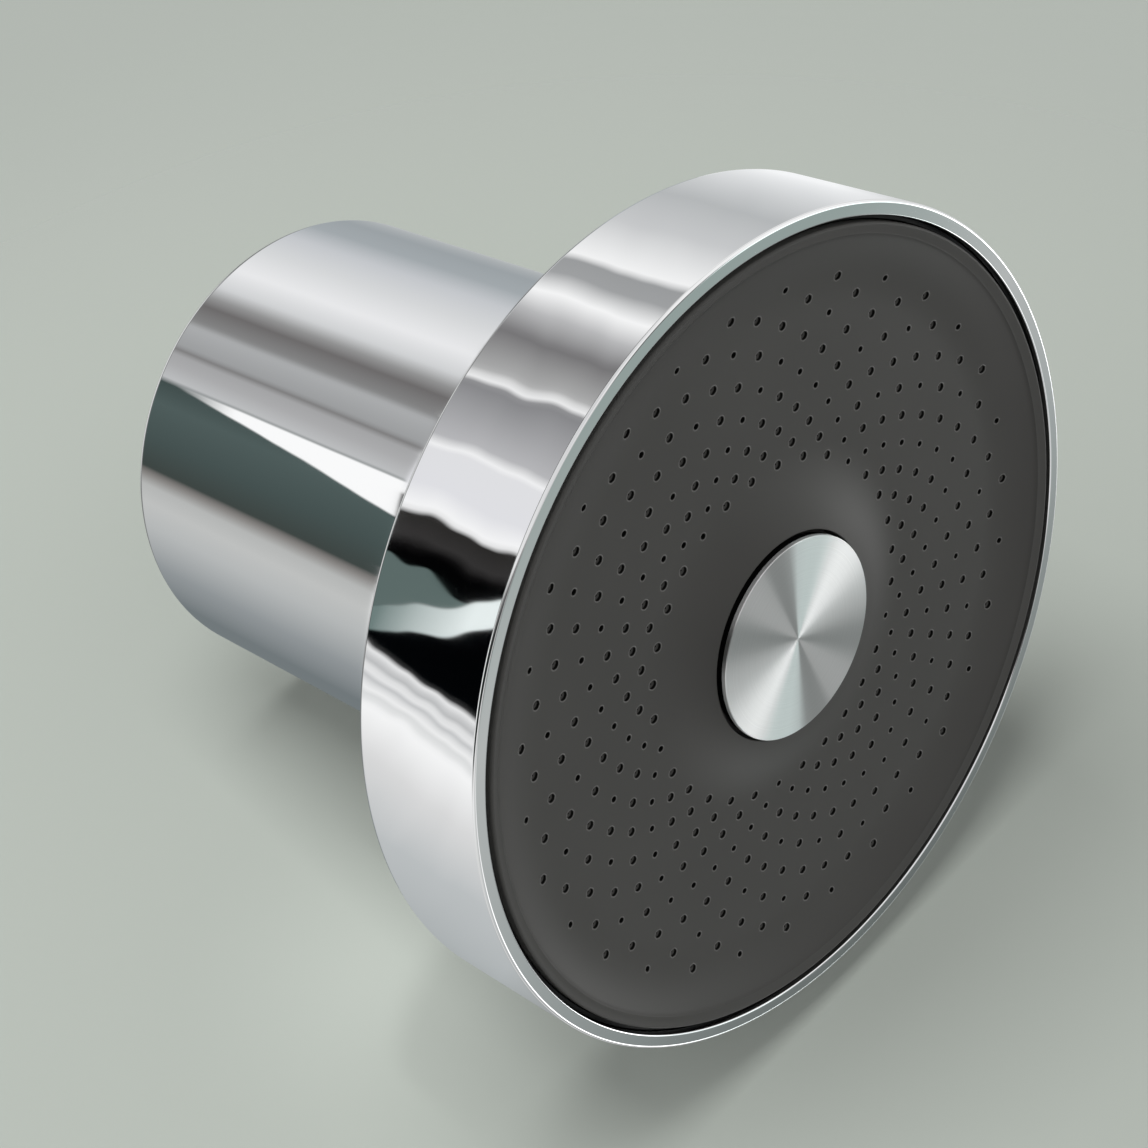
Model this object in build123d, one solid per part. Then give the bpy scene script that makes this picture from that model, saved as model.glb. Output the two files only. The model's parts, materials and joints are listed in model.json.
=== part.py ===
from build123d import *
import os
from math import cos, radians, sqrt, tan

# Filtered shower head, in millimetres. It stands on its chrome rim: the spray face looks down,
# the inlet looks up, Z is the axis, and the origin is the centre of the rim's lowest plane.

# Head shell: a shallow chrome cup with a threaded collar on its back
head_diameter = 127.0
head_depth = 22.6
rim_width = 2.15
rim_outer_round = 0.8
rim_inner_round = 0.3
head_back_round = 0.5
head_back_wall = 2.6
rim_gap_depth = 3.4
ledge_width = 2.0
ledge_height = 2.0
center_hub_radius = 5.0
rib_count = 3
rib_width = 2.0
rib_height = 3.0

# Spray face: a dish between its raised rim and a low central hill
face_gap = 0.9
face_skin = 2.4
face_edge_z = 0.15
face_edge_round = 1.0
edge_slope_width = 6.85
knee_z = 3.25
knee_round = 24.0
valley_z = 4.75
foot_round = 26.0
hill_width = 6.05
lip_z = 1.8
skirt_wall = 2.6
water_gap = 1.85

# Outlets: eleven rings of thirty, each ring turned half a step from the last. The fine ones run
# in a zigzag of spokes and go right through; the wider, shallow ones are surface detail.
ring_count = 11
outlets_per_ring = 30
zigzag_period = 12
zigzag_repeat = 4
outlet_turn = 31.0
first_ring_margin = 4.3
last_ring_margin = 1.1
fine_outlet_radius = 0.48

# Centre cap: a spun disc on a black carrier, over the screw that holds the face
disc_radius = 15.6
disc_gap = 0.45
disc_z = 0.7
disc_thickness = 0.7
disc_edge_bevel = 0.2
carrier_margin = 0.12
carrier_plate = 1.2
carrier_skirt = 2.0
pocket_depth = 3.4
pocket_wall = 2.0
pocket_ring_inset = 3.2
pocket_ring_wall = 2.0
pocket_ring_height = 1.7
center_screw_radius = 2.0
center_screw_head_radius = 4.0
center_screw_head_height = 2.0
center_screw_head_round = 0.7
cross_width = 1.0
cross_depth = 0.6

# Back plate: closes the water space behind the face
plate_thickness = 2.0
plate_margin = 0.1
plate_seat_width = 1.2
plate_screw_count = 6
plate_screw_inset = 2.45
plate_screw_radius = 1.25
plate_screw_head_radius = 2.75
plate_screw_head_height = 1.8
plate_screw_depth = 3.4
plate_screw_tip_gap = 0.2
plate_slot_width = 0.8
plate_slot_depth = 0.7
plate_boss_radius = 3.0
spigot_radius = 12.0
spigot_wall = 2.6
spigot_top_gap = 0.3
port_collar_height = 5.4
port_collar_wall = 2.2

# Housing: the chrome tube that screws onto the head's collar
housing_diameter = 77.6
housing_wall = 2.2
housing_top_z = 109.0
housing_top_wall = 3.0
housing_top_round = 1.4
housing_foot_gap = 0.05
housing_thread_wall = 2.75
guide_margin = 0.6
collar_wall = 3.4
collar_height = 13.0
collar_land = 2.6
thread_depth = 1.0
seal_inset = 1.5

# Inlet ball joint, inside the top of the housing
ball_radius = 10.5
ball_drop = 6.5
ball_flat_rise = 2.5
ball_neck_room = 2.6
ball_neck_wall = 2.05
ball_seal_drop = 5.5
boss_radius = 19.0
boss_neck_length = 7.0
seat_wall = 3.5
seat_floor_rise = 1.0
seat_hold = 3.0
seat_top_gap = 0.2
nut_lip = 1.6
nut_low_drop = 0.4
nut_hold = 1.6
nut_flare = 0.9
nut_slot_count = 4
nut_slot_inset = 2.9
nut_slot_radius = 1.2
nut_slot_depth = 2.0

# Inlet coupling, one piece with the ball: a hexagon with a 1/2 inch pipe thread inside
pipe_thread_radius = 10.48
pipe_thread_height = 1.16
hex_wall = 2.02
hex_height = 14.0
hex_chamfer_inset = 0.5
hex_chamfer_height = 1.0
neck_length = 10.5
inlet_floor = 2.0
screen_thickness = 0.5
screen_hole_rings = 3
screen_hole_radius = 0.6
screen_border = 3.5
washer_thickness = 2.4
washer_bore_radius = 6.0
restrictor_wall = 1.3
restrictor_thickness = 3.0
restrictor_orifice_radius = 1.6

# Filter cartridge, standing on the head's back inside the collar
gasket_margin = 2.7
gasket_width = 5.2
gasket_thickness = 2.0
cartridge_gap = 1.0
cartridge_top_gap = 0.5
cartridge_cap_wall = 1.6
cartridge_cap_plate = 2.5
cartridge_cap_skirt = 6.0
cartridge_tube_wall = 1.6
cartridge_neck_radius = 9.2
cartridge_neck_wall = 2.6
cartridge_neck_end_gap = 0.9
drain_count = 12
drain_inset = 2.6
drain_radius = 1.6
mesh_thickness = 0.5
mesh_hole_rings = 3
mesh_hole_radius = 2.4
mesh_border = 4.6
bottom_felt_thickness = 3.0
middle_felt_thickness = 2.0
top_felt_thickness = 3.0
sulfite_share = 0.51
spacer_ring_inset = 6.8
spacer_ring_wall = 1.5
spacer_ring_height = 1.0

# Fits
running_clearance = 0.05
seal_clearance = 0.02
screw_clearance = 0.03
loose_hole_clearance = 0.15
media_clearance = 0.1
seal_section = 0.7
ball_seal_section = 1.0
overcut = 1.0

# Head and face, worked out from the sizes above
head_radius = head_diameter / 2
rim_inner_radius = head_radius - rim_width
face_radius = rim_inner_radius - face_gap
shell_bore = face_radius + 2 * running_clearance
knee_radius = face_radius - edge_slope_width
lip_radius = disc_radius + disc_gap
foot_radius = lip_radius + hill_width
first_ring_radius = foot_radius + first_ring_margin
ring_step = (knee_radius - last_ring_margin - first_ring_radius) / (ring_count - 1)
pocket_floor_z = lip_z + pocket_depth
pocket_ring_outer = disc_radius - pocket_ring_inset
pocket_ring_inner = pocket_ring_outer - pocket_ring_wall
plate_z = valley_z + face_skin + water_gap
plate_top_z = plate_z + plate_thickness
skirt_bore = face_radius - skirt_wall - plate_seat_width
plate_radius = face_radius - skirt_wall - plate_margin
plate_screw_circle = lip_radius + pocket_wall + plate_screw_inset
spigot_bore = spigot_radius - spigot_wall
spigot_top_z = head_depth - rib_height - spigot_top_gap
port_radius = spigot_radius + 2 * running_clearance
port_collar_z = head_depth - head_back_wall - port_collar_height
hub_meeting_z = (plate_top_z + head_depth - head_back_wall) / 2

# Housing and ball joint, worked out from the sizes above
housing_radius = housing_diameter / 2
housing_bore = housing_radius - housing_wall
housing_guide_radius = housing_radius - housing_thread_wall
housing_foot_z = head_depth + housing_foot_gap
collar_radius = housing_guide_radius - running_clearance
collar_top_z = head_depth + collar_height
housing_seal_z = collar_top_z - seal_inset
ball_z = housing_top_z - ball_drop
seat_low_z = ball_z - ball_radius + seat_floor_rise
seat_radius = ball_radius + seat_wall
seat_opening_radius = ball_radius - seat_hold
nut_radius = seat_radius + nut_lip
nut_opening_radius = ball_radius - nut_hold
ball_neck_radius = nut_opening_radius - ball_neck_room
water_bore_radius = ball_neck_radius - ball_neck_wall
boss_low_z = seat_low_z - boss_neck_length
boss_bore = cartridge_neck_radius + 2 * running_clearance
hex_low_z = ball_z + neck_length
hex_top_z = hex_low_z + hex_height
hex_across_flats = 2 * (pipe_thread_radius + hex_wall)
inlet_bore_z = hex_low_z + inlet_floor
inlet_bore_radius = pipe_thread_radius - pipe_thread_height
pipe_thread_z = inlet_bore_z + screen_thickness + washer_thickness + seat_top_gap
restrictor_radius = ball_neck_radius - restrictor_wall

# Cartridge, worked out from the sizes above
gasket_inner_radius = port_radius + gasket_margin
cartridge_radius = collar_radius - collar_wall - cartridge_gap
cartridge_low_z = head_depth + gasket_thickness
cartridge_floor_z = cartridge_low_z + cartridge_cap_plate
cartridge_top_z = boss_low_z - cartridge_top_gap
cartridge_roof_z = cartridge_top_z - cartridge_cap_plate
cartridge_neck_z = seat_low_z - cartridge_neck_end_gap
tube_radius = cartridge_radius - cartridge_cap_wall - running_clearance
tube_bore = tube_radius - cartridge_tube_wall
media_radius = tube_bore - media_clearance


def post(radius, low, high):
    """A solid round bar between two heights."""
    return Pos(0, 0, low) * Cylinder(radius, high - low, align=(Align.CENTER, Align.CENTER, Align.MIN))


def tube(outer, inner, low, high):
    """A round wall between two radii and two heights."""
    return post(outer, low, high) - post(inner, low - overcut, high + overcut)


def section(*points):
    """Turns a polygon of radius and height about Z."""
    return revolve(Plane.XZ * make_face(Polyline(*points, close=True)), Axis.Z)


def at_angles(count, circle, shape):
    """Copies of a shape, evenly spaced on a circle."""
    return [Rot(0, 0, 360 * index / count) * Pos(circle, 0, 0) * shape for index in range(count)]


def o_ring(middle_radius, height, thickness):
    """A round-section ring; thickness is the radius of its section."""
    return Pos(0, 0, height) * Torus(middle_radius, thickness)


def groove(outer, middle_radius, height, thickness):
    """The rectangular room for an O-ring, open on its outer side."""
    half = thickness + seal_clearance
    return tube(outer, middle_radius - half, height - half, height + half)


def spokes(inner, outer, low, high):
    """Ribs from the centre hub to the wall around it, sunk a little into both."""
    length = outer - inner + 2 * overcut
    bar = Box(length, rib_width, high - low, align=(Align.MIN, Align.CENTER, Align.MIN))
    return at_angles(rib_count, inner - overcut, Pos(0, 0, low) * bar)


def fitting_radius(wish, corner, before, after):
    """The corner radius asked for, or the largest that the two sides leave room for."""
    first = Vector(*before) - Vector(*corner)
    second = Vector(*after) - Vector(*corner)
    half_angle = radians(first.get_angle(second)) / 2
    room = 0.99 * min(first.length, 0.7 * second.length)
    return min(wish, room * tan(half_angle))


def edges_at(part, radius, height):
    """The round edges of a part that lie at one radius and height."""
    found = [e for e in part.edges().filter_by(GeomType.CIRCLE) if abs(e.radius - radius) < 0.01]
    return [e for e in found if abs(e.arc_center.Z - height) < 0.01]


# Head shell


def make_head_shell():
    ledge_bore = shell_bore - ledge_width
    ledge_top = plate_top_z + ledge_height
    wall_low = head_depth - head_back_wall
    collar_bore = collar_radius - collar_wall
    thread_root = collar_radius - thread_depth
    shell = section(
        (head_radius, 0),
        (head_radius, head_depth),
        (collar_radius, head_depth),
        (collar_radius, head_depth + collar_land),
        (thread_root, head_depth + collar_land),
        (thread_root, collar_top_z - collar_land),
        (collar_radius, collar_top_z - collar_land),
        (collar_radius, collar_top_z),
        (collar_bore, collar_top_z),
        (collar_bore, head_depth),
        (port_radius, head_depth),
        (port_radius, port_collar_z),
        (port_radius + port_collar_wall, port_collar_z),
        (port_radius + port_collar_wall, wall_low),
        (shell_bore, wall_low),
        (shell_bore, ledge_top),
        (ledge_bore, ledge_top),
        (ledge_bore, plate_top_z),
        (shell_bore, plate_top_z),
        (shell_bore, rim_gap_depth),
        (rim_inner_radius, rim_gap_depth),
        (rim_inner_radius, 0),
    )
    shell = fillet(edges_at(shell, head_radius, 0), rim_outer_round)
    shell = fillet(edges_at(shell, rim_inner_radius, 0), rim_inner_round)
    shell = fillet(edges_at(shell, head_radius, head_depth), head_back_round)
    hub = post(center_hub_radius, hub_meeting_z, head_depth)
    ribs = spokes(center_hub_radius, port_radius, head_depth - rib_height, head_depth)
    pilot = post(center_screw_radius, hub_meeting_z - overcut, head_depth - rib_height / 3)
    return shell + hub + ribs - pilot


# Spray face


def is_fine(spoke, ring):
    """The fine outlets run in a zigzag, with repeats further out on every second spoke."""
    step = spoke % zigzag_period
    zigzag = min(step, zigzag_period - step)
    repeats = spoke % 2 == 0 and ring > zigzag and (ring - step) % zigzag_repeat == 0
    return ring == zigzag or repeats


def outlets():
    """The fine outlets' drills, up to the back plate."""
    drill = post(fine_outlet_radius, 0, plate_z)
    drills = []
    for ring in range(ring_count):
        for index in range(outlets_per_ring):
            spoke = 2 * index + ring % 2
            if is_fine(spoke, ring):
                angle = outlet_turn + 180 * spoke / outlets_per_ring
                drills.append(Rot(0, 0, angle) * Pos(first_ring_radius + ring * ring_step, 0, 0) * drill)
    return drills


def make_spray_face():
    hub_top = pocket_floor_z + face_skin
    lip, foot = (lip_radius, lip_z), (foot_radius, valley_z)
    knee, edge = (knee_radius, knee_z), (face_radius, face_edge_z)
    skirt_top = (face_radius, plate_top_z)
    rounds = [
        fitting_radius(foot_round, foot, lip, knee),
        fitting_radius(knee_round, knee, foot, edge),
        fitting_radius(face_edge_round, edge, skirt_top, knee),
    ]
    front = FilletPolyline(lip, foot, knee, edge, skirt_top, radius=rounds)
    skirt = Polyline(
        (face_radius, plate_top_z),
        (face_radius - skirt_wall, plate_top_z),
        (face_radius - skirt_wall, plate_z),
        (skirt_bore, plate_z),
        (skirt_bore, knee_z + face_skin),
        (knee_radius, knee_z + face_skin),
    )
    back = Polyline(
        (knee_radius, knee_z + face_skin),
        (foot_radius, valley_z + face_skin),
        (lip_radius + pocket_wall, (lip_z + valley_z) / 2 + face_skin),
        (lip_radius + pocket_wall, hub_top),
        (center_hub_radius, hub_top),
        (center_hub_radius, plate_z),
        (center_screw_radius + loose_hole_clearance, plate_z),
    )
    pocket = Polyline(
        (center_screw_radius + loose_hole_clearance, plate_z),
        (center_screw_radius + loose_hole_clearance, pocket_floor_z),
        (pocket_ring_inner, pocket_floor_z),
        (pocket_ring_inner, pocket_floor_z - pocket_ring_height),
        (pocket_ring_outer, pocket_floor_z - pocket_ring_height),
        (pocket_ring_outer, pocket_floor_z),
        (lip_radius, pocket_floor_z),
        (lip_radius, lip_z),
    )
    half = make_face(Curve() + [front, skirt, back, pocket])
    face = revolve(Plane.XZ * half, Axis.Z)
    boss = post(plate_boss_radius, valley_z + face_skin / 2, plate_z)
    pilot = post(plate_screw_radius, plate_z - plate_screw_depth, plate_z + overcut)
    face += at_angles(plate_screw_count, plate_screw_circle, boss)
    face -= at_angles(plate_screw_count, plate_screw_circle, pilot)
    face -= groove(face_radius + overcut, face_seal_middle(), face_seal_z(), seal_section)
    return face - outlets()


def face_seal_middle():
    return shell_bore - seal_clearance - seal_section


def face_seal_z():
    return (rim_gap_depth + plate_top_z) / 2


def make_face_seal():
    return o_ring(face_seal_middle(), face_seal_z(), seal_section)


# Centre cap


def make_center_disc():
    disc = post(disc_radius, disc_z, disc_z + disc_thickness)
    return chamfer(edges_at(disc, disc_radius, disc_z), disc_edge_bevel)


def make_disc_carrier():
    low = disc_z + disc_thickness
    plate = post(disc_radius - carrier_margin, low, low + carrier_plate)
    skirt_inner = pocket_ring_outer + running_clearance
    return plate + tube(skirt_inner + carrier_skirt, skirt_inner, low + carrier_plate, pocket_floor_z)


def make_center_screw():
    head_low = pocket_floor_z - center_screw_head_height
    head = post(center_screw_head_radius, head_low, pocket_floor_z)
    head = fillet(edges_at(head, center_screw_head_radius, head_low), center_screw_head_round)
    cross = Box(center_screw_head_radius, cross_width, 2 * cross_depth)
    cross += Box(cross_width, center_screw_head_radius, 2 * cross_depth)
    shank = post(center_screw_radius - screw_clearance, pocket_floor_z, head_depth - rib_height)
    return head + shank - Pos(0, 0, head_low) * cross


# Back plate


def make_back_plate():
    plate = tube(plate_radius, spigot_bore, plate_z, plate_top_z)
    plate += tube(spigot_radius, spigot_bore, plate_top_z, spigot_top_z)
    plate += post(center_hub_radius, plate_z, hub_meeting_z)
    plate += spokes(center_hub_radius, spigot_bore, plate_z, plate_top_z)
    center_hole_radius = center_screw_radius + loose_hole_clearance
    plate -= post(center_hole_radius, plate_z - overcut, hub_meeting_z + overcut)
    loose = post(plate_screw_radius + loose_hole_clearance, plate_z - overcut, plate_top_z + overcut)
    plate -= at_angles(plate_screw_count, plate_screw_circle, loose)
    return plate - groove(spigot_radius + overcut, spigot_seal_middle(), spigot_seal_z(), seal_section)


def spigot_seal_middle():
    return port_radius - seal_clearance - seal_section


def spigot_seal_z():
    return (port_collar_z + spigot_top_z) / 2


def make_spigot_seal():
    return o_ring(spigot_seal_middle(), spigot_seal_z(), seal_section)


def make_plate_screws():
    tip = plate_z - plate_screw_depth + plate_screw_tip_gap
    shank = post(plate_screw_radius - screw_clearance, tip, plate_top_z)
    head_top = plate_top_z + plate_screw_head_height
    head = post(plate_screw_head_radius, plate_top_z, head_top)
    slot = Box(2 * plate_screw_head_radius + overcut, plate_slot_width, 2 * plate_slot_depth)
    screw = shank + head - Pos(0, 0, head_top) * slot
    return Compound(children=at_angles(plate_screw_count, plate_screw_circle, screw))


# Filter housing


def make_filter_housing():
    guide_top = collar_top_z + guide_margin
    inside_top = housing_top_z - housing_top_wall
    housing = section(
        (housing_radius, housing_foot_z),
        (housing_radius, housing_top_z),
        (nut_radius, housing_top_z),
        (nut_radius, ball_z - nut_low_drop),
        (seat_radius, ball_z - nut_low_drop),
        (seat_radius, seat_low_z),
        (boss_bore, seat_low_z),
        (boss_bore, boss_low_z),
        (boss_radius, boss_low_z),
        (boss_radius, inside_top),
        (housing_bore, inside_top),
        (housing_bore, guide_top),
        (housing_guide_radius, guide_top),
        (housing_guide_radius, housing_foot_z),
    )
    housing = fillet(edges_at(housing, housing_radius, housing_top_z), housing_top_round)
    half = seal_section + seal_clearance
    outer = housing_seal_middle() + half
    inner = housing_guide_radius - overcut
    return housing - tube(outer, inner, housing_seal_z - half, housing_seal_z + half)


def housing_seal_middle():
    return collar_radius + seal_clearance + seal_section


def make_housing_seal():
    return o_ring(housing_seal_middle(), housing_seal_z, seal_section)


# Ball joint


def ball_room():
    """The hollow that the ball turns in."""
    return Pos(0, 0, ball_z) * Sphere(ball_radius + running_clearance)


def ball_seal_middle():
    reach = ball_radius + seal_clearance + ball_seal_section
    return sqrt(reach**2 - ball_seal_drop**2)


def make_ball_seat():
    top = ball_z - nut_low_drop - seat_top_gap
    seat = tube(seat_radius - running_clearance, seat_opening_radius, seat_low_z, top)
    room = Torus(ball_seal_middle(), ball_seal_section + seal_clearance)
    return seat - ball_room() - Pos(0, 0, ball_z - ball_seal_drop) * room


def make_ball_seal():
    return o_ring(ball_seal_middle(), ball_z - ball_seal_drop, ball_seal_section)


def make_ball_nut():
    low = ball_z - nut_low_drop + seal_clearance
    nut = post(nut_radius - screw_clearance, low, housing_top_z) - ball_room()
    nut -= post(nut_opening_radius, ball_z, housing_top_z + overcut)
    flare = Cone(nut_opening_radius, nut_opening_radius + nut_flare, nut_flare)
    nut -= Pos(0, 0, housing_top_z - nut_flare / 2) * flare
    slot = post(nut_slot_radius, housing_top_z - nut_slot_depth, housing_top_z + overcut)
    return nut - at_angles(nut_slot_count, nut_radius - nut_slot_inset, slot)


def make_swivel_ball():
    ball = Pos(0, 0, ball_z) * Sphere(ball_radius)
    ball_low = ball_z - ball_radius
    ball -= post(ball_radius, ball_low - overcut, ball_low + ball_flat_rise)
    neck = post(ball_neck_radius, ball_z, hex_low_z)
    hexagon = RegularPolygon(hex_across_flats / 2, 6, major_radius=False)
    coupling = extrude(Pos(0, 0, hex_low_z) * hexagon, hex_height)
    corner_radius = hex_across_flats / 2 / cos(radians(30))
    coupling &= hex_turning(corner_radius)
    body = ball + neck + coupling
    body -= post(water_bore_radius, ball_low, inlet_bore_z + overcut)
    body -= post(restrictor_radius, inlet_bore_z - restrictor_thickness, inlet_bore_z + overcut)
    body -= post(inlet_bore_radius, inlet_bore_z, pipe_thread_z + overcut)
    return body - post(pipe_thread_radius, pipe_thread_z, hex_top_z + overcut)


def hex_turning(corner_radius):
    """The turned envelope that bevels the hexagon's corners at both ends."""
    flat_radius = hex_across_flats / 2 - hex_chamfer_inset
    return section(
        (0, hex_low_z),
        (flat_radius, hex_low_z),
        (corner_radius, hex_low_z + hex_chamfer_height),
        (corner_radius, hex_top_z - hex_chamfer_height),
        (flat_radius, hex_top_z),
        (0, hex_top_z),
    )


def make_flow_restrictor():
    outer = restrictor_radius - screw_clearance
    return tube(outer, restrictor_orifice_radius, inlet_bore_z - restrictor_thickness, inlet_bore_z)


def make_inlet_screen():
    screen = post(inlet_bore_radius - media_clearance, inlet_bore_z, inlet_bore_z + screen_thickness)
    pitch = (inlet_bore_radius - screen_border) / screen_hole_rings
    hole = post(screen_hole_radius, inlet_bore_z - overcut, inlet_bore_z + screen_thickness + overcut)
    return screen - hole_rings(screen_hole_rings, pitch, hole)


def make_inlet_washer():
    low = inlet_bore_z + screen_thickness
    return tube(inlet_bore_radius - running_clearance, washer_bore_radius, low, low + washer_thickness)


def hole_rings(rings, pitch, hole):
    """A middle hole and rings around it, six more holes in each ring than in the last."""
    holes = [hole]
    for ring in range(1, rings + 1):
        holes += at_angles(6 * ring, ring * pitch, hole)
    return holes


# Filter cartridge


def make_bottom_gasket():
    outer = gasket_inner_radius + gasket_width
    return tube(outer, gasket_inner_radius, head_depth, cartridge_low_z)


def make_cartridge_bottom_cap():
    cap = post(cartridge_radius, cartridge_low_z, cartridge_floor_z)
    cap_bore = cartridge_radius - cartridge_cap_wall
    cap += tube(cartridge_radius, cap_bore, cartridge_floor_z, cartridge_floor_z + cartridge_cap_skirt)
    drain = post(drain_radius, cartridge_low_z - overcut, cartridge_floor_z + overcut)
    return cap - at_angles(drain_count, port_radius - drain_inset, drain)


def make_cartridge_tube():
    return tube(tube_radius, tube_bore, cartridge_floor_z, cartridge_roof_z)


def make_cartridge_top_cap():
    cap = post(cartridge_radius, cartridge_roof_z, cartridge_top_z)
    cap_bore = cartridge_radius - cartridge_cap_wall
    cap += tube(cartridge_radius, cap_bore, cartridge_roof_z - cartridge_cap_skirt, cartridge_roof_z)
    spacer_radius = media_radius - spacer_ring_inset
    spacer_bore = spacer_radius - spacer_ring_wall
    cap += tube(spacer_radius, spacer_bore, cartridge_roof_z - spacer_ring_height, cartridge_roof_z)
    cap += post(cartridge_neck_radius, cartridge_top_z, cartridge_neck_z)
    neck_bore = cartridge_neck_radius - cartridge_neck_wall
    cap -= post(neck_bore, cartridge_roof_z - overcut, cartridge_neck_z + overcut)
    return cap - groove(cartridge_neck_radius + overcut, neck_seal_middle(), neck_seal_z(), seal_section)


def neck_seal_middle():
    return boss_bore - seal_clearance - seal_section


def neck_seal_z():
    return (boss_low_z + cartridge_neck_z) / 2


def make_neck_seal():
    return o_ring(neck_seal_middle(), neck_seal_z(), seal_section)


def make_filter_layers():
    """The layers inside the cartridge, stacked from its bottom cap up to its top cap's spacer."""
    felts = bottom_felt_thickness + middle_felt_thickness + top_felt_thickness
    stack_height = cartridge_roof_z - spacer_ring_height - cartridge_floor_z
    media_height = stack_height - felts - 2 * mesh_thickness
    thicknesses = {
        "bottom_mesh": mesh_thickness,
        "bottom_felt": bottom_felt_thickness,
        "calcium_sulfite_media": sulfite_share * media_height,
        "middle_felt": middle_felt_thickness,
        "copper_zinc_media": (1 - sulfite_share) * media_height,
        "top_felt": top_felt_thickness,
        "top_mesh": mesh_thickness,
    }
    layers = {}
    low = cartridge_floor_z
    for name, thickness in thicknesses.items():
        layers[name] = post(media_radius, low, low + thickness)
        if name.endswith("mesh"):
            pitch = (media_radius - mesh_border) / mesh_hole_rings
            hole = post(mesh_hole_radius, low - overcut, low + thickness + overcut)
            layers[name] -= hole_rings(mesh_hole_rings, pitch, hole)
        low += thickness
    return layers


parts = {
    "head_shell": make_head_shell(),
    "spray_face": make_spray_face(),
    "face_seal": make_face_seal(),
    "center_disc": make_center_disc(),
    "disc_carrier": make_disc_carrier(),
    "center_screw": make_center_screw(),
    "back_plate": make_back_plate(),
    "spigot_seal": make_spigot_seal(),
    "plate_screws": make_plate_screws(),
    "filter_housing": make_filter_housing(),
    "housing_seal": make_housing_seal(),
    "ball_seat": make_ball_seat(),
    "ball_seal": make_ball_seal(),
    "ball_nut": make_ball_nut(),
    "swivel_ball": make_swivel_ball(),
    "flow_restrictor": make_flow_restrictor(),
    "inlet_screen": make_inlet_screen(),
    "inlet_washer": make_inlet_washer(),
    "bottom_gasket": make_bottom_gasket(),
    "cartridge_bottom_cap": make_cartridge_bottom_cap(),
    "cartridge_tube": make_cartridge_tube(),
    "cartridge_top_cap": make_cartridge_top_cap(),
    "neck_seal": make_neck_seal(),
}
parts.update(make_filter_layers())

os.makedirs("parts", exist_ok=True)
for name, part in parts.items():
    export_step(part, f"parts/{name}.step")
    print(name, len(part.solids()), round(part.volume), part.bounding_box().size)
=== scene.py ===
import json
import math
from types import SimpleNamespace as Settings

import bpy
import numpy as np
from mathutils import Matrix, Vector

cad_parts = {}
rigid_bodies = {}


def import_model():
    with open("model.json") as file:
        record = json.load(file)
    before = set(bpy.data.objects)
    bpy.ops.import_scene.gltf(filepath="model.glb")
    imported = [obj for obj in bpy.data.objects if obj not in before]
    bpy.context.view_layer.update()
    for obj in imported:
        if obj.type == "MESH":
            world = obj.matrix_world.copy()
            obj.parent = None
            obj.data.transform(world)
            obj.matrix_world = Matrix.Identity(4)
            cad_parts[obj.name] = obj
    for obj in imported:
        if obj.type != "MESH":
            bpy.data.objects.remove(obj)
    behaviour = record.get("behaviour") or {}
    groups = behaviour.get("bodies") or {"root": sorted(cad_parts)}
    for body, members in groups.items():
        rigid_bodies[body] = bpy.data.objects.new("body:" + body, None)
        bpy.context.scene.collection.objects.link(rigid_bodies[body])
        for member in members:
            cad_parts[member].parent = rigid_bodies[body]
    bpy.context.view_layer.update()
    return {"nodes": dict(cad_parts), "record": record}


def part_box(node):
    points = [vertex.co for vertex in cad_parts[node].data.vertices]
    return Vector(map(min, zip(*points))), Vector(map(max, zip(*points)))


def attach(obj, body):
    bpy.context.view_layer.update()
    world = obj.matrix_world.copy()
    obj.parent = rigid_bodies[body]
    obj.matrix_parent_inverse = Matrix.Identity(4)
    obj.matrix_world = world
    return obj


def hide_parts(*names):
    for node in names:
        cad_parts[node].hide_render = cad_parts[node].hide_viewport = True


# Filtered shower head: chrome cup and filter housing, dished grey spray face, spun centre cap.
# It stands on its rim, z up. Lengths are in mm here and in metres in the meshes and the studio.
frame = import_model()
nodes = frame["nodes"]
mm = 0.001


def boxOf(node):
    # lowest and highest corner of a CAD node, in mm
    low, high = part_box(node)
    return low / mm, high / mm


headLow, headHigh = boxOf("head_shell")
housingLow, housingHigh = boxOf("filter_housing")
faceLow, faceHigh = boxOf("spray_face")
discLow, discHigh = boxOf("center_disc")
carrierLow, carrierHigh = boxOf("disc_carrier")
nutLow, nutHigh = boxOf("ball_nut")
ballLow, ballHigh = boxOf("swivel_ball")
screenLow, screenHigh = boxOf("inlet_screen")
print("frame loaded:", len(nodes), "nodes")


# mesh helpers

roundStep, fewestRoundSteps, mostRoundSteps = 0.35, 4, 28  # along a rounded corner, in mm and steps


def unit(vector):
    return np.array(vector, float) / np.linalg.norm(vector)


def circleAngles(count, phase=0.0):
    return [phase + 2 * math.pi * k / count for k in range(count)]


def onCircle(radius, angle, z=0.0):
    return (radius * math.cos(angle), radius * math.sin(angle), z)


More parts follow.
